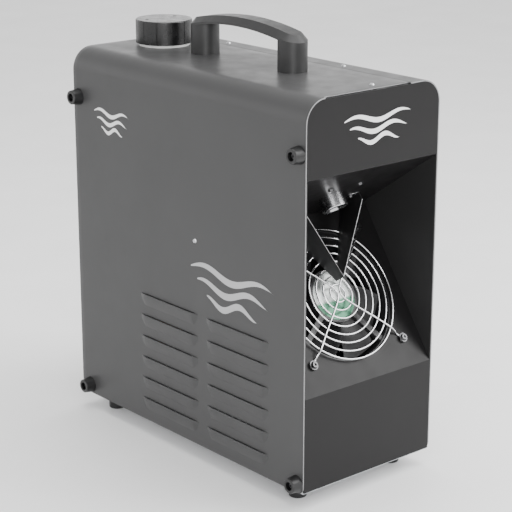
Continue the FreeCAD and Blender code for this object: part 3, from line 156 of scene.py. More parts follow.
def painted(name, colour, rough, orange_peel=0.25, fleck=0.06, specular=0.5):
    """Powder coat: fine orange peel, faint tone drift and a little grime in the roughness."""
    material, tree, shader = new_material(name)
    where = coordinates(tree)
    drift = noise(tree, where, 14, 4)
    tone = ramp(tree, drift, ((0.3, shade(colour, 1 - fleck)), (0.7, shade(colour, 1 + fleck))))
    speck = ramp(tree, noise(tree, where, 2600, 2), ((0.35, 0.0), (0.75, 1.0)))
    tone = blend_colours(tree, speck, tone, shade(colour, 1 + 2.2 * fleck))
    tree.links.new(tone, shader.inputs["Base Color"])
    gloss = ramp(tree, noise(tree, where, 45, 5), ((0.25, rough - 0.05), (0.8, rough + 0.07)))
    tree.links.new(gloss, shader.inputs["Roughness"])
    peel = noise(tree, where, 820, 3, 0.55)
    wave = noise(tree, where, 190, 2)
    bump(tree, shader, ((peel, orange_peel, 0.00012), (wave, 0.12, 0.0002)))
    shader.inputs["Specular IOR Level"].default_value = specular
    return material


def moulded(name, colour, rough, grain=0.35, grain_scale=1500, fleck=0.12, coat=0.0):
    """Moulded plastic or rubber: pebbled skin, dust in the tone and uneven gloss."""
    material, tree, shader = new_material(name)
    where = coordinates(tree)
    dust = noise(tree, where, 60, 6, 0.6)
    tone = ramp(tree, dust, ((0.35, shade(colour, 1 - fleck)), (0.75, shade(colour, 1 + 2 * fleck))))
    tree.links.new(tone, shader.inputs["Base Color"])
    gloss = ramp(tree, noise(tree, where, 110, 4), ((0.3, rough - 0.06), (0.75, rough + 0.08)))
    tree.links.new(gloss, shader.inputs["Roughness"])
    cells = tree.nodes.new("ShaderNodeTexVoronoi")
    cells.inputs["Scale"].default_value = grain_scale
    tree.links.new(where, cells.inputs["Vector"])
    bump(tree, shader, ((cells.outputs["Distance"], grain, 0.00006), (dust, 0.1, 0.0002)))
    shader.inputs["Coat Weight"].default_value = coat
    shader.inputs["Coat Roughness"].default_value = 0.12
    return material


def metal(name, colour, rough, brush=(1, 1, 1), brush_scale=900, scratch=0.12, anisotropic=0.0):
    """Bare metal: brushing along one axis, tarnish drift and fine scratches."""
    material, tree, shader = new_material(name)
    shader.inputs["Metallic"].default_value = 1.0
    shader.inputs["Anisotropic"].default_value = anisotropic
    where = coordinates(tree)
    lines = noise(tree, coordinates(tree, brush), brush_scale, 3)
    drift = noise(tree, where, 35, 5)
    tone = ramp(tree, drift, ((0.3, shade(colour, 0.86)), (0.7, shade(colour, 1.06))))
    tree.links.new(tone, shader.inputs["Base Color"])
    gloss = ramp(tree, lines, ((0.25, max(0.03, rough - 0.07)), (0.8, rough + 0.1)))
    tree.links.new(gloss, shader.inputs["Roughness"])
    bump(tree, shader, ((lines, scratch, 0.00003),))
    return material


def spangled(name):
    """Zinc sheet: broad crystal flakes of slightly different tone."""
    material, tree, shader = new_material(name)
    shader.inputs["Metallic"].default_value = 1.0
    where = coordinates(tree)
    flakes = tree.nodes.new("ShaderNodeTexVoronoi")
    flakes.inputs["Scale"].default_value = 160
    tree.links.new(where, flakes.inputs["Vector"])
    level = tree.nodes.new("ShaderNodeRGBToBW")
    tree.links.new(flakes.outputs["Color"], level.inputs["Color"])
    tone = ramp(tree, level.outputs["Val"], ((0.2, (0.42, 0.43, 0.45)), (0.8, (0.62, 0.63, 0.65))))
    tree.links.new(tone, shader.inputs["Base Color"])
    gloss = ramp(tree, level.outputs["Val"], ((0.2, 0.3), (0.8, 0.48)))
    tree.links.new(gloss, shader.inputs["Roughness"])
    bump(tree, shader, ((noise(tree, where, 600, 3), 0.1, 0.00005),))
    return material


def fibre(name, colour):
    """Ceramic wool: felted strands."""
    material, tree, shader = new_material(name)
    where = coordinates(tree)
    strands = noise(tree, coordinates(tree, (1, 6, 1)), 260, 8, 0.75)
    clumps = noise(tree, where, 70, 6, 0.7)
    tone = ramp(tree, strands, ((0.3, shade(colour, 0.72)), (0.7, colour)))
    tree.links.new(tone, shader.inputs["Base Color"])
    shader.inputs["Roughness"].default_value = 0.95
    shader.inputs["Sheen Weight"].default_value = 0.3
    bump(tree, shader, ((strands, 0.8, 0.0004), (clumps, 0.6, 0.001)))
    return material


def translucent(name, colour, rough, subsurface):
    """Natural polyethylene: light soaks in, with faint flow marks."""
    material, tree, shader = new_material(name)
    where = coordinates(tree)
    flow = noise(tree, coordinates(tree, (1, 1, 0.25)), 40, 4)
    tone = ramp(tree, flow, ((0.3, shade(colour, 0.9)), (0.7, colour)))
    tree.links.new(tone, shader.inputs["Base Color"])
    shader.inputs["Subsurface Weight"].default_value = subsurface
    shader.inputs["Subsurface Radius"].default_value = (0.004, 0.004, 0.004)
    shader.inputs["Roughness"].default_value = rough
    bump(tree, shader, ((flow, 0.2, 0.0003), (noise(tree, where, 900, 2), 0.1, 0.00005)))
    return material


def clear(name, colour, rough, weight):
    """Clear plastic or glass, with faint smears in the gloss."""
    material, tree, shader = new_material(name)
    where = coordinates(tree)
    smear = noise(tree, where, 80, 5)
    gloss = ramp(tree, smear, ((0.4, rough), (0.8, rough + 0.1)))
    tree.links.new(gloss, shader.inputs["Roughness"])
    tone = ramp(tree, smear, ((0.3, shade(colour, 0.92)), (0.7, colour)))
    tree.links.new(tone, shader.inputs["Base Color"])
    shader.inputs["Transmission Weight"].default_value = weight
    shader.inputs["IOR"].default_value = 1.49
    return material


def wound_wire(name):
    """Enamelled copper: fine turns round the winding."""
    material, tree, shader = new_material(name)
    shader.inputs["Metallic"].default_value = 0.8
    wave = tree.nodes.new("ShaderNodeTexWave")
    wave.bands_direction = "Z"
    wave.inputs["Scale"].default_value = 260
    wave.inputs["Distortion"].default_value = 0.6
    tree.links.new(coordinates(tree), wave.inputs["Vector"])
    tone = ramp(tree, wave.outputs["Fac"], ((0.1, (0.12, 0.045, 0.02)), (0.7, (0.55, 0.25, 0.1))))
    tree.links.new(tone, shader.inputs["Base Color"])
    shader.inputs["Roughness"].default_value = 0.35
    bump(tree, shader, ((wave.outputs["Fac"], 0.6, 0.0003),))
    return material


def circuit_board(name):
    """Solder mask with paler tracks on a square grid."""
    material, tree, shader = new_material(name)
    where = coordinates(tree)
    bricks = tree.nodes.new("ShaderNodeTexBrick")
    bricks.inputs["Scale"].default_value = 120
    bricks.inputs["Mortar Size"].default_value = 0.03
    bricks.inputs["Color1"].default_value = (0.012, 0.09, 0.035, 1)
    bricks.inputs["Color2"].default_value = (0.018, 0.12, 0.05, 1)
    bricks.inputs["Mortar"].default_value = (0.05, 0.2, 0.09, 1)
    tree.links.new(coordinates(tree, (1, 1.3, 1)), bricks.inputs["Vector"])
    tree.links.new(bricks.outputs["Color"], shader.inputs["Base Color"])
    shader.inputs["Roughness"].default_value = 0.3
    bump(tree, shader, ((bricks.outputs["Fac"], 0.3, 0.0001), (noise(tree, where, 700, 2), 0.1, 0.0001)))
    return material


def foil_label(name):
    """Motor cover disc: brushed foil with a plain green lower part."""
    material, tree, shader = new_material(name)
    source = tree.nodes.new("ShaderNodeTexCoord")
    offset = tree.nodes.new("ShaderNodeMapping")
    offset.vector_type = "POINT"
    offset.inputs["Location"].default_value = -FAN_PLATE
    tree.links.new(source.outputs["Object"], offset.inputs["Vector"])
    parts = tree.nodes.new("ShaderNodeSeparateXYZ")
    tree.links.new(offset.outputs["Vector"], parts.inputs["Vector"])
    height = tree.nodes.new("ShaderNodeMapRange")
    height.inputs["From Min"].default_value = -0.024
    height.inputs["From Max"].default_value = 0.024
    tree.links.new(parts.outputs["Z"], height.inputs["Value"])
    green = (0.045, 0.13, 0.08)
    silver = (0.36, 0.38, 0.37)
    tone = ramp(tree, height.outputs["Result"], ((0.0, green), (0.34, green), (0.4, silver), (1.0, silver)))
    tree.links.new(tone, shader.inputs["Base Color"])
    shader.inputs["Metallic"].default_value = 0.7
    lines = noise(tree, coordinates(tree, (40, 1, 1)), 300, 2)
    gloss = ramp(tree, lines, ((0.3, 0.22), (0.8, 0.4)))
    tree.links.new(gloss, shader.inputs["Roughness"])
    bump(tree, shader, ((lines, 0.1, 0.00005),))
    return material


# ---- the materials ----

MATERIALS = {
    "cover": painted("cover_powder_coat", (0.042, 0.042, 0.0425), 0.37, 0.28, 0.05, 0.28),
    "panel": painted("panel_black_coat", (0.008, 0.0077, 0.008), 0.35, 0.2, 0.06, 0.19),
    # Cheeks: the panel's black paint, made about twice as pale as painted light where light falls on the
    # recess walls
    "cheek": painted("cheek_black_painted_lighter", (0.016, 0.0158, 0.016), 0.42, 0.2, 0.06, 0.4),
    "rear": painted("rear_black_coat", (0.016, 0.016, 0.017), 0.45, 0.3, 0.06),
    "deflector": painted("deflector_black", (0.010, 0.010, 0.0105), 0.35, 0.2, 0.05),
    "edge": metal("cut_edge", (0.3, 0.3, 0.305), 0.42),
    "bright_edge": metal("bright_edge", (0.5, 0.5, 0.51), 0.3),
    "zinc_sheet": spangled("zinc_sheet"),
    "rubber": moulded("black_rubber", (0.005, 0.005, 0.0053), 0.38, 0.35, 900),
    "black_screw": metal("black_oxide", (0.11, 0.11, 0.113), 0.28),
    "zinc_screw": metal("zinc_plate", (0.62, 0.63, 0.64), 0.3),
    "chrome": metal("chrome_wire", (0.72, 0.72, 0.73), 0.14, scratch=0.05),
    "fan": moulded("fan_plastic", (0.018, 0.018, 0.019), 0.42, 0.25, 1300),
    "foil": foil_label("motor_foil"),
    "copper": wound_wire("enamelled_copper"),
    "polished": metal("turned_steel", (0.5, 0.5, 0.51), 0.24, (1, 1, 1), 1500, 0.03),
    "aluminium": metal("cast_aluminium", (0.62, 0.62, 0.63), 0.5, (1, 1, 1), 400, 0.5),
    "steel": metal("plain_steel", (0.45, 0.45, 0.46), 0.35),
    "wool": fibre("ceramic_wool", (0.80, 0.78, 0.72)),
    "brass": metal("turned_brass", (0.70, 0.52, 0.24), 0.25),
    "tank": translucent("polyethylene", (0.78, 0.79, 0.77), 0.4, 0.5),
    "seal": translucent("foam_seal", (0.7, 0.7, 0.68), 0.8, 0.2),
    "cap": moulded("cap_black", (0.006, 0.006, 0.0063), 0.26, 0.12, 1800),
    "clear_hose": clear("clear_hose", (0.82, 0.84, 0.82), 0.12, 0.7),
    "black_hose": moulded("black_hose", (0.03, 0.03, 0.03), 0.5, 0.9, 700),
    "nylon": moulded("nylon", (0.62, 0.60, 0.52), 0.45, 0.2, 1200),
    "board": circuit_board("solder_mask"),
    "smoked": clear("smoked_window", (0.05, 0.06, 0.07), 0.05, 0.4),
    "key": moulded("key_grey", (0.16, 0.16, 0.165), 0.4, 0.2, 1600),
    "socket": moulded("socket_black", (0.02, 0.02, 0.021), 0.4, 0.25, 1500),
    "rocker": moulded("rocker_black", (0.015, 0.015, 0.015), 0.22, 0.08, 2000, coat=0.3),
    "pin": metal("nickel_pin", (0.70, 0.68, 0.62), 0.25),
    "glass": clear("fuse_glass", (0.85, 0.87, 0.87), 0.03, 0.6),
    "handle": moulded("handle_black", (0.012, 0.012, 0.0123), 0.42, 0.4, 1100),
    "mark": painted("mark_print", (0.72, 0.72, 0.72), 0.4, 0.05, 0.03),
    "mark_grey": painted("mark_print_grey", (0.36, 0.36, 0.365), 0.4, 0.05, 0.03),
}

NODE_MATERIALS = {
    "cover": ["cover_left", "cover_right"],
    "panel": ["nozzle_panel", "fan_panel"],
    "cheek": ["recess_cheeks"],
    "rear": ["rear_panel"],
    "deflector": ["fog_deflector"],
    "zinc_sheet": ["base_pan", "tank_shelf", "tank_strap", "heater_brackets", "pump_frame"],
    "rubber": ["side_bumpers", "feet"],
    "black_screw": ["guard_screws", "nozzle_panel_screws", "rubber_screws"],
    "zinc_screw": ["handle_screws", "case_screws"],
    "chrome": ["fan_guard"],
    "fan": ["fan_frame", "fan_impeller"],
    "foil": ["fan_label"],
    "copper": ["fan_stator", "pump_coil"],
    "polished": ["nozzle"],
    "aluminium": ["heater_block"],
    "steel": ["heater_cartridges", "heater_thermostats", "tank_filter", "pump_spring", "pump_piston"],
    "wool": ["heater_jacket"],
    "brass": ["heater_inlet", "tank_outlet"],
    "tank": ["fluid_tank", "filler_neck"],
    "seal": ["cap_seal"],
    "cap": ["tank_cap"],
    "clear_hose": ["suction_hose"],
    "black_hose": ["pressure_hose"],
    "nylon": ["pump_body"],
    "board": ["control_board", "power_board"],
    "smoked": ["display_window"],
    "key": ["button_1", "button_2", "button_3", "button_4"],
    "socket": ["switch_housing", "mains_inlet", "data_out", "data_in", "remote_socket",
               "fuse_drawer", "data_latch"],
    "rocker": ["power_rocker"],
    "pin": ["socket_pins"],
    "glass": ["fuse"],
    "handle": ["handle"],
}


# Widths in millimetres of the small rounds on CAD nodes' edges
EDGE_ROUNDS = {"nozzle_panel": 0.5, "fan_panel": 0.4, "handle": 0.9, "tank_cap": 0.4, "nozzle": 0.3}


def dress_nodes():
    """Every CAD node gets its material, and the ones in EDGE_ROUNDS a small round on their edges."""
    for finish, names in NODE_MATERIALS.items():
        for name in names:
            node = frame["nodes"][name]
            if not node.material_slots:
                node.data.materials.append(MATERIALS[finish])
            for slot in node.material_slots:
                slot.material = MATERIALS[finish]
    for name, width in EDGE_ROUNDS.items():
        soft = frame["nodes"][name].modifiers.new("edge_round", "BEVEL")
        soft.width = width * MM
        soft.segments = 3
        soft.limit_method = "ANGLE"
        soft.angle_limit = math.radians(28)


# ---- mesh helpers ----

def piece(name, bm, finishes, body, sharp=35.0):
    """Turns a finished bmesh into a piece that rides on a body."""
    mesh = bpy.data.meshes.new(name)
    bm.to_mesh(mesh)
    bm.free()
    mesh.shade_smooth()
    mesh.set_sharp_from_angle(angle=math.radians(sharp))
    for finish in finishes:
        mesh.materials.append(MATERIALS[finish])
    made = bpy.data.objects.new(name, mesh)
    bpy.context.scene.collection.objects.link(made)
    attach(made, body)
    return made


def harden(made, sharp=35.0):
    """Applies the modifiers and marks sharp edges again."""
    graph = bpy.context.evaluated_depsgraph_get()
    graph.update()
    mesh = bpy.data.meshes.new_from_object(made.evaluated_get(graph))
    made.modifiers.clear()
    made.data = mesh
    mesh.shade_smooth()
    mesh.set_sharp_from_angle(angle=math.radians(sharp))


def tube(bm, points, radius, closed=False, sides=12):
    """Round wire along points, with its rings turned as little as possible."""
    count = len(points)
    rings = []
    normal = None
    for index, point in enumerate(points):
        after = points[(index + 1) % count] if closed or index < count - 1 else point
        before = points[index - 1] if closed or index > 0 else point
        along = (after - before).normalized()
        if normal is None:
            normal = along.orthogonal().normalized()
        normal = (normal - along * normal.dot(along)).normalized()
        side = along.cross(normal)
        ring = []
        for step in range(sides):
            angle = 2 * math.pi * step / sides
            ring.append(bm.verts.new(point + radius * (math.cos(angle) * normal + math.sin(angle) * side)))
        rings.append(ring)
    spans = count if closed else count - 1
    for index in range(spans):
        first = rings[index]
        second = rings[(index + 1) % count]
        for step in range(sides):
            following = (step + 1) % sides
            bm.faces.new((first[step], first[following], second[following], second[step]))
    if not closed:
        bm.faces.new(list(reversed(rings[0])))
        bm.faces.new(rings[-1])


def lathe(bm, profile, centre, axis, across, sides=64):
    """Turns (radius, height) points round an axis; radius 0 closes an end."""
    other = axis.cross(across)
    rings = []
    for radius, height in profile:
        if radius < 1e-7:
            rings.append([bm.verts.new(centre + axis * height)])
            continue
        ring = []
        for step in range(sides):
            angle = 2 * math.pi * step / sides
            out = math.cos(angle) * across + math.sin(angle) * other
            ring.append(bm.verts.new(centre + axis * height + out * radius))
        rings.append(ring)
    for lower, upper in zip(rings, rings[1:]):
        for step in range(sides):
            following = (step + 1) % sides
            corners = [lower[step % len(lower)], lower[following % len(lower)],
                       upper[following % len(upper)], upper[step % len(upper)]]
            unique = []
            for corner in corners:
                if corner not in unique:
                    unique.append(corner)
            if len(unique) > 2:
                bm.faces.new(unique)


# ---- covers ----

LOUVRE_STARTS = (60 * MM, 190 * MM)
LOUVRE_LENGTH = 114 * MM
LOUVRE_TOP = 169.5 * MM
LOUVRE_PITCH = 27.9 * MM
LOUVRE_ROWS = 6
LOUVRE_DROP = 15 * MM
LOUVRE_END = 10 * MM
LOUVRE_RISE = 2.6 * MM
LOUVRE_EASE = 1.2
SLOT = 3 * MM
SIDE_CORNER = 8 * MM
SIDE_REACH = 8.5 * MM
LAP_FROM = 3.1 * MM
LAP_FIT = 0.1 * MM
LAP_WIDTH = 18.5 * MM
LAP_INSET = 6 * MM
SEAM_GAP = 0.3 * MM
SEAM_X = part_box("cover_right")[0].x - SEAM_GAP - CASE_MIDDLE


def louvre_tops():
    """Heights of the louvres' open upper edges."""
    return [LOUVRE_TOP - row * LOUVRE_PITCH for row in range(LOUVRE_ROWS)]


def louvre_rise(y, z):
    """How far the sheet is pressed out: most along the upper edge, easing away at its round ends."""
    for top in louvre_tops():
        down = (top - z) / LOUVRE_DROP
        if down < -1e-6 or down > 1.0:
            continue
        for start in LOUVRE_STARTS:
            from_end = min(y - start, start + LOUVRE_LENGTH - y)
            if from_end < 0:
                continue
            beyond = max(0.0, 1 - from_end / LOUVRE_END)
            lifted = 1 - down * down - beyond ** LOUVRE_EASE
            if lifted > 0:
                return LOUVRE_RISE * lifted
    return 0.0


def length_lines():
    """Where the grid has its cross lines along the case, measured back from the front."""
    lines = {0.0, SLOT, SIDE_REACH, CASE_LENGTH - SIDE_REACH, CASE_LENGTH}
    for start in LOUVRE_STARTS:
        for part in (-0.06, 0, 0.03, 0.07, 0.12, 0.18, 0.25, 0.33, 0.42, 0.52, 0.63, 0.75, 0.87, 1.0):
            lines.add(start + part * LOUVRE_END)
            lines.add(start + LOUVRE_LENGTH - part * LOUVRE_END)
        for part in range(1, 7):
            lines.add(start + LOUVRE_LENGTH * part / 7)
    for y in (30, 330, 350, 370, 390, 410):
        lines.add(y * MM)
    return sorted(lines)


def height_lines():
    """Where the grid has its lines up the side wall, measured from the case's bottom edge."""
    lines = {0.0, 1.2 * MM, 2.8 * MM, 5 * MM, SIDE_CORNER}
    for top in louvre_tops():
        for part in (-0.06, 0, 0.12, 0.25, 0.37, 0.48, 0.58, 0.67, 0.75, 0.82, 0.88, 0.93, 0.97, 1.0, 1.04):
            lines.add(top - part * LOUVRE_DROP)
    for z in (200, 240, 280, 320, 360, 400):
        lines.add(z * MM)
    lines.add(CASE_HEIGHT - CORNER)
    return sorted(line for line in lines if line >= 0)


def cover_profile(seam, lap):
    """(x, z) points up the side wall, round the top edge and across to the seam."""
    points = [(-HALF_WIDTH, z) for z in height_lines()]
    middle_x = -HALF_WIDTH + CORNER
    middle_z = CASE_HEIGHT - CORNER
    steps = 14
    for step in range(1, steps + 1):
        angle = math.pi / 2 * step / steps
        points.append((middle_x - CORNER * math.cos(angle), middle_z + CORNER * math.sin(angle)))
    for part in range(1, 9):
        points.append((middle_x + (seam - middle_x) * part / 8, CASE_HEIGHT))
    if lap:
        points.append((seam + 0.4 * MM, CASE_HEIGHT - SHEET))
        points.append((seam + LAP_WIDTH, CASE_HEIGHT - SHEET))
    return points


def cover_skin(name, node, mirrored):
    """One cover as a folded sheet: louvres cut along their upper edges, and a lap under the seam."""
    seam = -(SEAM_X + SEAM_GAP) if mirrored else SEAM_X
    profile = cover_profile(seam, not mirrored)
    lines = length_lines()
    tops = louvre_tops()
    bm = bmesh.new()
    made = {}
    sign = -1 if mirrored else 1

    def corner(row, column, pressed):
        x, z = profile[row]
        y = lines[column]
        on_side = row < len(height_lines())
        on_top_line = on_side and any(abs(z - top) < 1e-9 for top in tops)
        rise = louvre_rise(y, z) if on_side else 0.0
        if on_top_line and not pressed:
            rise = 0.0
        split = on_top_line and rise > 1e-6
        key = (row, column, split)
        if key not in made:
            place_y = y
            if z < SIDE_CORNER:
                cut = SIDE_CORNER - math.sqrt(SIDE_CORNER ** 2 - (SIDE_CORNER - z) ** 2)
                if y <= SIDE_REACH:
                    place_y = cut + y * (SIDE_REACH - cut) / SIDE_REACH
                if y >= CASE_LENGTH - SIDE_REACH:
                    place_y = CASE_LENGTH - cut - (CASE_LENGTH - y) * (SIDE_REACH - cut) / SIDE_REACH
            if not on_side and x > seam + 1e-6:
                place_y = min(max(y, LAP_INSET), CASE_LENGTH - LAP_INSET)
            place = Vector((CASE_MIDDLE + sign * (x - rise), FRONT_Y + place_y, CASE_BOTTOM + z))
            made[key] = bm.verts.new(place)
        return made[key]

    slot_from = -HALF_WIDTH + CORNER - 1e-6
    for row in range(len(profile) - 1):
        for column in range(len(lines) - 1):
            in_slot = lines[column + 1] <= SLOT + 1e-9 and profile[row][0] > slot_from
            if in_slot and not mirrored:
                continue
            lap = profile[row + 1][0] > seam + 1e-6 and not mirrored
            if lap and (lines[column + 1] <= LAP_FROM or lines[column] >= CASE_LENGTH - LAP_FIT):
                continue
            quad = [corner(row, column, False), corner(row + 1, column, True),
                    corner(row + 1, column + 1, True), corner(row, column + 1, False)]
            if mirrored:
                quad.reverse()
            bm.faces.new(quad)
    bmesh.ops.remove_doubles(bm, verts=bm.verts, dist=1e-7)
    skin = piece(name, bm, ("cover", "edge"), "chassis")
    thick = skin.modifiers.new("sheet", "SOLIDIFY")
    thick.thickness = SHEET
    thick.offset = -1
    thick.use_even_offset = True
    thick.material_offset_rim = 1
    soft = skin.modifiers.new("edges", "BEVEL")
    soft.width = 0.25 * MM
    soft.segments = 2
    soft.angle_limit = math.radians(60)
    harden(skin)
    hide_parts(node)
    return skin


# ---- guard and fan ----

WIRE = 1.1 * MM
SCREW_HALF = 72.25 * MM
GUARD_OUT = 5 * MM
RING_COUNT = 8
RING_FIRST = 10.8 * MM
RING_STEP = 10 * MM


def circle_points(radius, out, steps):
    """Points of a circle round the fan's middle, out of the tilted plate."""
    points = []
    for step in range(steps):
        angle = 2 * math.pi * step / steps
        points.append(on_plate(radius * math.cos(angle), radius * math.sin(angle), out))
    return points


def smooth_path(points, steps=8):
    """Catmull-Rom curve through the points."""
    padded = [2 * points[0] - points[1]] + points + [2 * points[-1] - points[-2]]
    path = []
    for a, b, c, d in zip(padded, padded[1:], padded[2:], padded[3:]):
        for step in range(steps):
            t = step / steps
            path.append(0.5 * ((2 * b) + (c - a) * t + (2 * a - 5 * b + 4 * c - d) * t * t
                               + (3 * b - a - 3 * c + d) * t * t * t))
    path.append(points[-1])
    return path


def guard_leg(bm, side):
    """One long wire: a loop round each of two screws and a bend close to the middle."""
    high = GUARD_OUT + 2 * WIRE - 0.15 * MM
    half = SCREW_HALF
    loop = 4 * MM
    route = []
    for step in range(13):
        angle = math.radians(-45 - 300 + 300 * step / 12)
        route.append((-half + loop * math.cos(angle), half + loop * math.sin(angle), WIRE))
    upper = [
        (-half + 7 * MM, half - 7 * MM, WIRE + 0.6 * MM),
        (-half + 12 * MM, half - 11.6 * MM, high - 1.4 * MM),
        (-half + 17 * MM, half - 16.4 * MM, high),
        (-38 * MM, 39 * MM, high),
        (-22 * MM, 24.5 * MM, high),
        (-9 * MM, 12 * MM, high),
        (-3.6 * MM, 5 * MM, high),
        (-2.2 * MM, 0.0, high),
    ]
    route += upper
    route += [(x, -up, out) for x, up, out in reversed(route[:-1])]
    points = [on_plate(side * x, up, out) for x, up, out in route]
    tube(bm, smooth_path(points, 5), WIRE, sides=12)


def build_guard():
    """Rings of wire on two long legs, held by four screws."""
    bm = bmesh.new()
    for ring in range(RING_COUNT):
        radius = RING_FIRST + RING_STEP * ring
        tube(bm, circle_points(radius, GUARD_OUT, 48 + 12 * ring), WIRE, closed=True)
    for side in (1, -1):
        guard_leg(bm, side)
    bmesh.ops.recalc_face_normals(bm, faces=bm.faces)
    guard = piece("guard_wires", bm, ("chrome",), "chassis")
    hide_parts("fan_guard")


def thick_blade(bm, grid, half):
    """Closes a grid of points into a blade by moving two copies of it along its normals."""
    rows = len(grid)
    columns = len(grid[0])
    sides = []
    for sign in (-1, 1):
        skin = []
        for row in range(rows):
            line = []
            for column in range(columns):
                across = grid[row][min(column + 1, columns - 1)] - grid[row][max(column - 1, 0)]
                along = grid[min(row + 1, rows - 1)][column] - grid[max(row - 1, 0)][column]
                normal = across.cross(along).normalized()
                line.append(bm.verts.new(grid[row][column] + normal * half * sign))
            skin.append(line)
        sides.append(skin)
    for row in range(rows - 1):
        for column in range(columns - 1):
            for skin in sides:
                bm.faces.new((skin[row][column], skin[row][column + 1],
                              skin[row + 1][column + 1], skin[row + 1][column]))
    low, high = sides
    for row in range(rows - 1):
        for column in (0, columns - 1):
            bm.faces.new((low[row][column], low[row + 1][column], high[row + 1][column], high[row][column]))
    for column in range(columns - 1):
        for row in (0, rows - 1):
            bm.faces.new((low[row][column], low[row][column + 1], high[row][column + 1], high[row][column]))


BLADE_COUNT = 7
BLADE_HALF = 0.8 * MM


def build_impeller():
    """Seven cambered blades swept back round a cup-shaped hub, with its shaft."""
    front = -12.1 * MM
    back = -38.1 * MM
    middle = (front + back) / 2
    bm = bmesh.new()
    r = 31.4 * MM
    hub = [(0, back), (r - 3 * MM, back), (r - 1 * MM, back + 1 * MM), (r, back + 3 * MM),
           (r, front - 0.6 * MM), (r - 0.6 * MM, front), (28 * MM, front), (28 * MM, back + 3 * MM),
           (2.5 * MM, back + 3 * MM), (2.5 * MM, -6.7 * MM), (0, -6.7 * MM)]
    lathe(bm, hub, FAN_PLATE, FAN_AXIS, Vector((1, 0, 0)), 72)
    rows = 9
    columns = 11
    for blade in range(BLADE_COUNT):
        grid = []
        for row in range(rows):
            share = row / (rows - 1)
            radius = (30.9 + 46.1 * share) * MM
            chord = (31 + 12 * share) * MM
            pitch = math.radians(47 - 19 * share)
            line = []
            for column in range(columns):
                place = column / (columns - 1)
                along = (place - 0.5) * chord
                camber = 0.09 * chord * (1 - (2 * place - 1) ** 2)
                tangent = along * math.cos(pitch) + camber * math.sin(pitch)
                axial = along * math.sin(pitch) - camber * math.cos(pitch) + 0.05 * chord
                turn = tangent / radius - 0.42 * share + 2 * math.pi * blade / BLADE_COUNT
                level = min(max(middle + axial, back + 1.4 * MM), front - 1.4 * MM)
                line.append(on_plate(radius * math.cos(turn), radius * math.sin(turn), level))
            grid.append(line)
        thick_blade(bm, grid, BLADE_HALF)
    bmesh.ops.recalc_face_normals(bm, faces=bm.faces)
    rotor = piece("rotor", bm, ("fan",), "impeller", 40)
    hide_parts("fan_impeller")


def build_spring():
    """The pump's spring as a fixed coil of wire; the real one shortens as the piston goes down."""
    low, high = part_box("pump_spring")
    middle = (low + high) / 2
    wire = 0.5 * MM
    coil = (high.x - low.x) / 2 - wire
    length = high.z - low.z - 2 * wire
    per_turn = 24
    steps = per_turn * 8
    points = []
    for step in range(steps + 1):
        angle = 2 * math.pi * step / per_turn
        points.append(Vector((middle.x + coil * math.cos(angle), middle.y + coil * math.sin(angle),
                              low.z + wire + length * step / steps)))
    bm = bmesh.new()
    tube(bm, points, wire, sides=8)
    bmesh.ops.recalc_face_normals(bm, faces=bm.faces)
    spring = piece("piston_spring", bm, ("steel",), "chassis")
    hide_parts("pump_spring")
    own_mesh(spring)


# ---- deflector: one folded strip with bright cut edges ----

# Places up the tilted plate and out of it, in millimetres
FOLD = 121
FAN_MIDDLE = 107
DEFLECTOR_SLOPE = 0.59
DEFLECTOR_FOOT = 11.0
DEFLECTOR_EDGE = ((121, 26.4), (140, 33.9), (160, 41.8), (180, 49.7), (198.5, 57.0), (209.5, 49.0))
TAB_WIDTH = 15.5


def build_deflector():
    """The V's two wings with a tab at the upper end of each."""
    right_side = [((s - FOLD) * DEFLECTOR_SLOPE, s, high) for s, high in DEFLECTOR_EDGE]
    end_x, end_s, end_high = right_side[-1]
    right_side.append((end_x - TAB_WIDTH, end_s, end_high))
    path = [(-x, s, high) for x, s, high in reversed(right_side[1:])] + right_side
    bm = bmesh.new()
    levels = (0.0, 0.3, 0.6, 1.0)
    columns = []
    for x, s, high in path:
        column = []
        for level in levels:
            out = DEFLECTOR_FOOT + (high - DEFLECTOR_FOOT) * level
            column.append(bm.verts.new(on_plate(x * MM, (s - FAN_MIDDLE) * MM, out * MM)))
        columns.append(column)
    for first, second in zip(columns, columns[1:]):
        for index in range(len(levels) - 1):
            bm.faces.new((first[index], second[index], second[index + 1], first[index + 1]))
    strip = piece("deflector_strip", bm, ("deflector", "bright_edge"), "chassis")
    thick = strip.modifiers.new("sheet", "SOLIDIFY")
    thick.thickness = 0.8 * MM
    thick.offset = 0
    thick.use_even_offset = True
    thick.material_offset_rim = 1
    soft = strip.modifiers.new("edges", "BEVEL")
    soft.width = 0.15 * MM
    soft.segments = 2
    soft.angle_limit = math.radians(70)
    harden(strip)
    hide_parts("fog_deflector")


# ---- marks: three drifting ribbons, printed ----

# Level, start and length of each ribbon, as shares of the mark's height and width
RIBBONS = ((0.36, 0.0, 1.0), (0.0, 0.16, 0.86), (-0.36, 0.4, 0.62))
MARK_LIFT = 0.02 * MM
MARK_THICK = 0.12 * MM


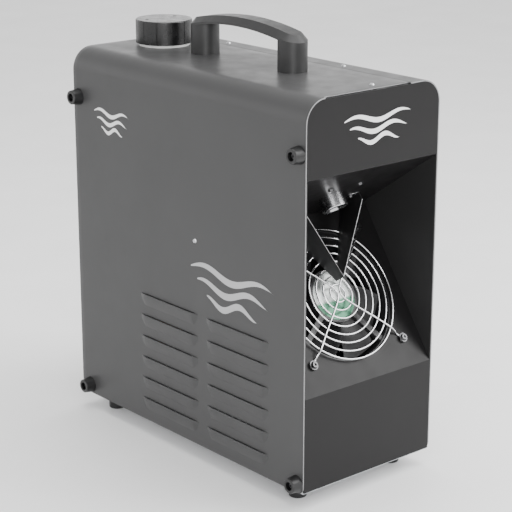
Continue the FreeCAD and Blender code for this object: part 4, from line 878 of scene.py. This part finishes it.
def ribbon_mark(name, origin, right, up, width, height, finish):
    """Three wavy ribbons with pointed ends, a little thicker than the paint."""
    out = right.cross(up)
    bm = bmesh.new()
    steps = 40
    for index, (level, shift, length) in enumerate(RIBBONS):
        lower = []
        upper = []
        for step in range(steps + 1):
            share = step / steps
            x = (shift * 0.5 + share * length - 0.5) * width
            swing = math.sin(share * 2 * math.pi * 1.5 + index * 0.9) * 0.11
            centre = (level + swing) * height
            half = 0.085 * height * math.sin(math.pi * min(1, share * 1.02 + 0.02)) ** 0.6
            for row, offset in ((lower, -half), (upper, half)):
                row.append(bm.verts.new(origin + right * x + up * (centre + offset)))
        for step in range(steps):
            bm.faces.new((lower[step], lower[step + 1], upper[step + 1], upper[step]))
    raised = bmesh.ops.extrude_face_region(bm, geom=bm.faces[:])
    moved = [item for item in raised["geom"] if isinstance(item, bmesh.types.BMVert)]
    bmesh.ops.translate(bm, verts=moved, vec=out * MARK_THICK)
    bmesh.ops.recalc_face_normals(bm, faces=bm.faces)
    mark = piece(name, bm, (finish,), "chassis")


def build_marks():
    """One mark on the fascia, a large one and a small one on the left side."""
    front = Vector((CASE_MIDDLE + 6 * MM, FRONT_Y - MARK_LIFT, CASE_BOTTOM + 416 * MM))
    ribbon_mark("front_mark", front, Vector((1, 0, 0)), Vector((0, 0, 1)), 106 * MM, 34 * MM, "mark")
    back = Vector((0, -1, 0))
    side = CASE_MIDDLE - HALF_WIDTH - MARK_LIFT
    large = Vector((side, FRONT_Y + 127 * MM, CASE_BOTTOM + 211 * MM))
    ribbon_mark("side_mark", large, back, Vector((0, 0, 1)), 150 * MM, 50 * MM, "mark_grey")
    small = Vector((side, FRONT_Y + 358 * MM, CASE_BOTTOM + 376 * MM))
    ribbon_mark("badge_mark", small, back, Vector((0, 0, 1)), 72 * MM, 30 * MM, "mark")


# ---- stage ----

def area_light(name, place, target, size, power):
    """Soft rectangular light that faces the target."""
    data = bpy.data.lights.new(name, "AREA")
    data.shape = "RECTANGLE"
    data.size = size[0]
    data.size_y = size[1]
    data.energy = power
    lamp = bpy.data.objects.new(name, data)
    lamp.location = place
    lamp.rotation_euler = (Vector(target) - Vector(place)).to_track_quat("-Z", "Y").to_euler()
    bpy.context.scene.collection.objects.link(lamp)


def build_stage():
    """Pale floor, an even surround that is paler low down, and three soft lights."""
    material, tree, shader = new_material("floor_pale")
    where = coordinates(tree)
    tone = ramp(tree, noise(tree, where, 6, 3), ((0.3, 0.86), (0.7, 0.9)))
    tree.links.new(tone, shader.inputs["Base Color"])
    shader.inputs["Roughness"].default_value = 0.6
    mesh = bpy.data.meshes.new("floor")
    half = 12.0
    corners = [(-half, -half, 0), (half, -half, 0), (half, half, 0), (-half, half, 0)]
    mesh.from_pydata(corners, [], [(0, 1, 2, 3)])
    floor = bpy.data.objects.new("floor", mesh)
    floor.data.materials.append(material)
    bpy.context.scene.collection.objects.link(floor)

    world = bpy.data.worlds.new("studio")
    bpy.context.scene.world = world
    world.use_nodes = True
    sky = world.node_tree
    backdrop = sky.nodes["Background"]
    around = sky.nodes.new("ShaderNodeTexCoord")
    parts = sky.nodes.new("ShaderNodeSeparateXYZ")
    sky.links.new(around.outputs["Generated"], parts.inputs["Vector"])
    tone = ramp(sky, parts.outputs["Z"], ((0.0, 1.0), (0.3, 0.95), (0.5, 0.3), (0.72, 0.35), (0.95, 1.0)))
    sky.links.new(tone, backdrop.inputs["Color"])
    backdrop.inputs["Strength"].default_value = 2.1

    target = (0, 0, 0.25)
    area_light("top_light", (0.2, -0.1, 2.3), target, (2.2, 1.4), 36)
    area_light("front_right_light", (1.45, -1.4, 1.6), target, (1.5, 1.5), 55)
    area_light("front_left_light", (-1.7, -2.3, 1.1), target, (1.2, 1.4), 42)


CAMERA_PLACE = (CASE_MIDDLE - 1.2550, -1.4858, 0.8323)
CAMERA_LENS = 114.8
CAMERA_YAW = 40.53
CAMERA_PITCH = 17.04


def build_camera():
    """At the front left, a little above the machine's top, with a long lens."""
    data = bpy.data.cameras.new("camera")
    data.lens = CAMERA_LENS
    data.sensor_width = 36.0
    data.clip_start = 0.05
    data.clip_end = 60
    camera = bpy.data.objects.new("camera", data)
    yaw = math.radians(CAMERA_YAW)
    pitch = math.radians(CAMERA_PITCH)
    camera.location = CAMERA_PLACE
    ahead = Vector((math.sin(yaw) * math.cos(pitch), math.cos(yaw) * math.cos(pitch), -math.sin(pitch)))
    camera.rotation_euler = ahead.to_track_quat("-Z", "Y").to_euler()
    bpy.context.scene.collection.objects.link(camera)
    bpy.context.scene.camera = camera


dress_nodes()
cover_skin("cover_left_skin", "cover_left", False)
cover_skin("cover_right_skin", "cover_right", True)
build_guard()
build_impeller()
build_spring()
build_deflector()
build_marks()
build_stage()
build_camera()
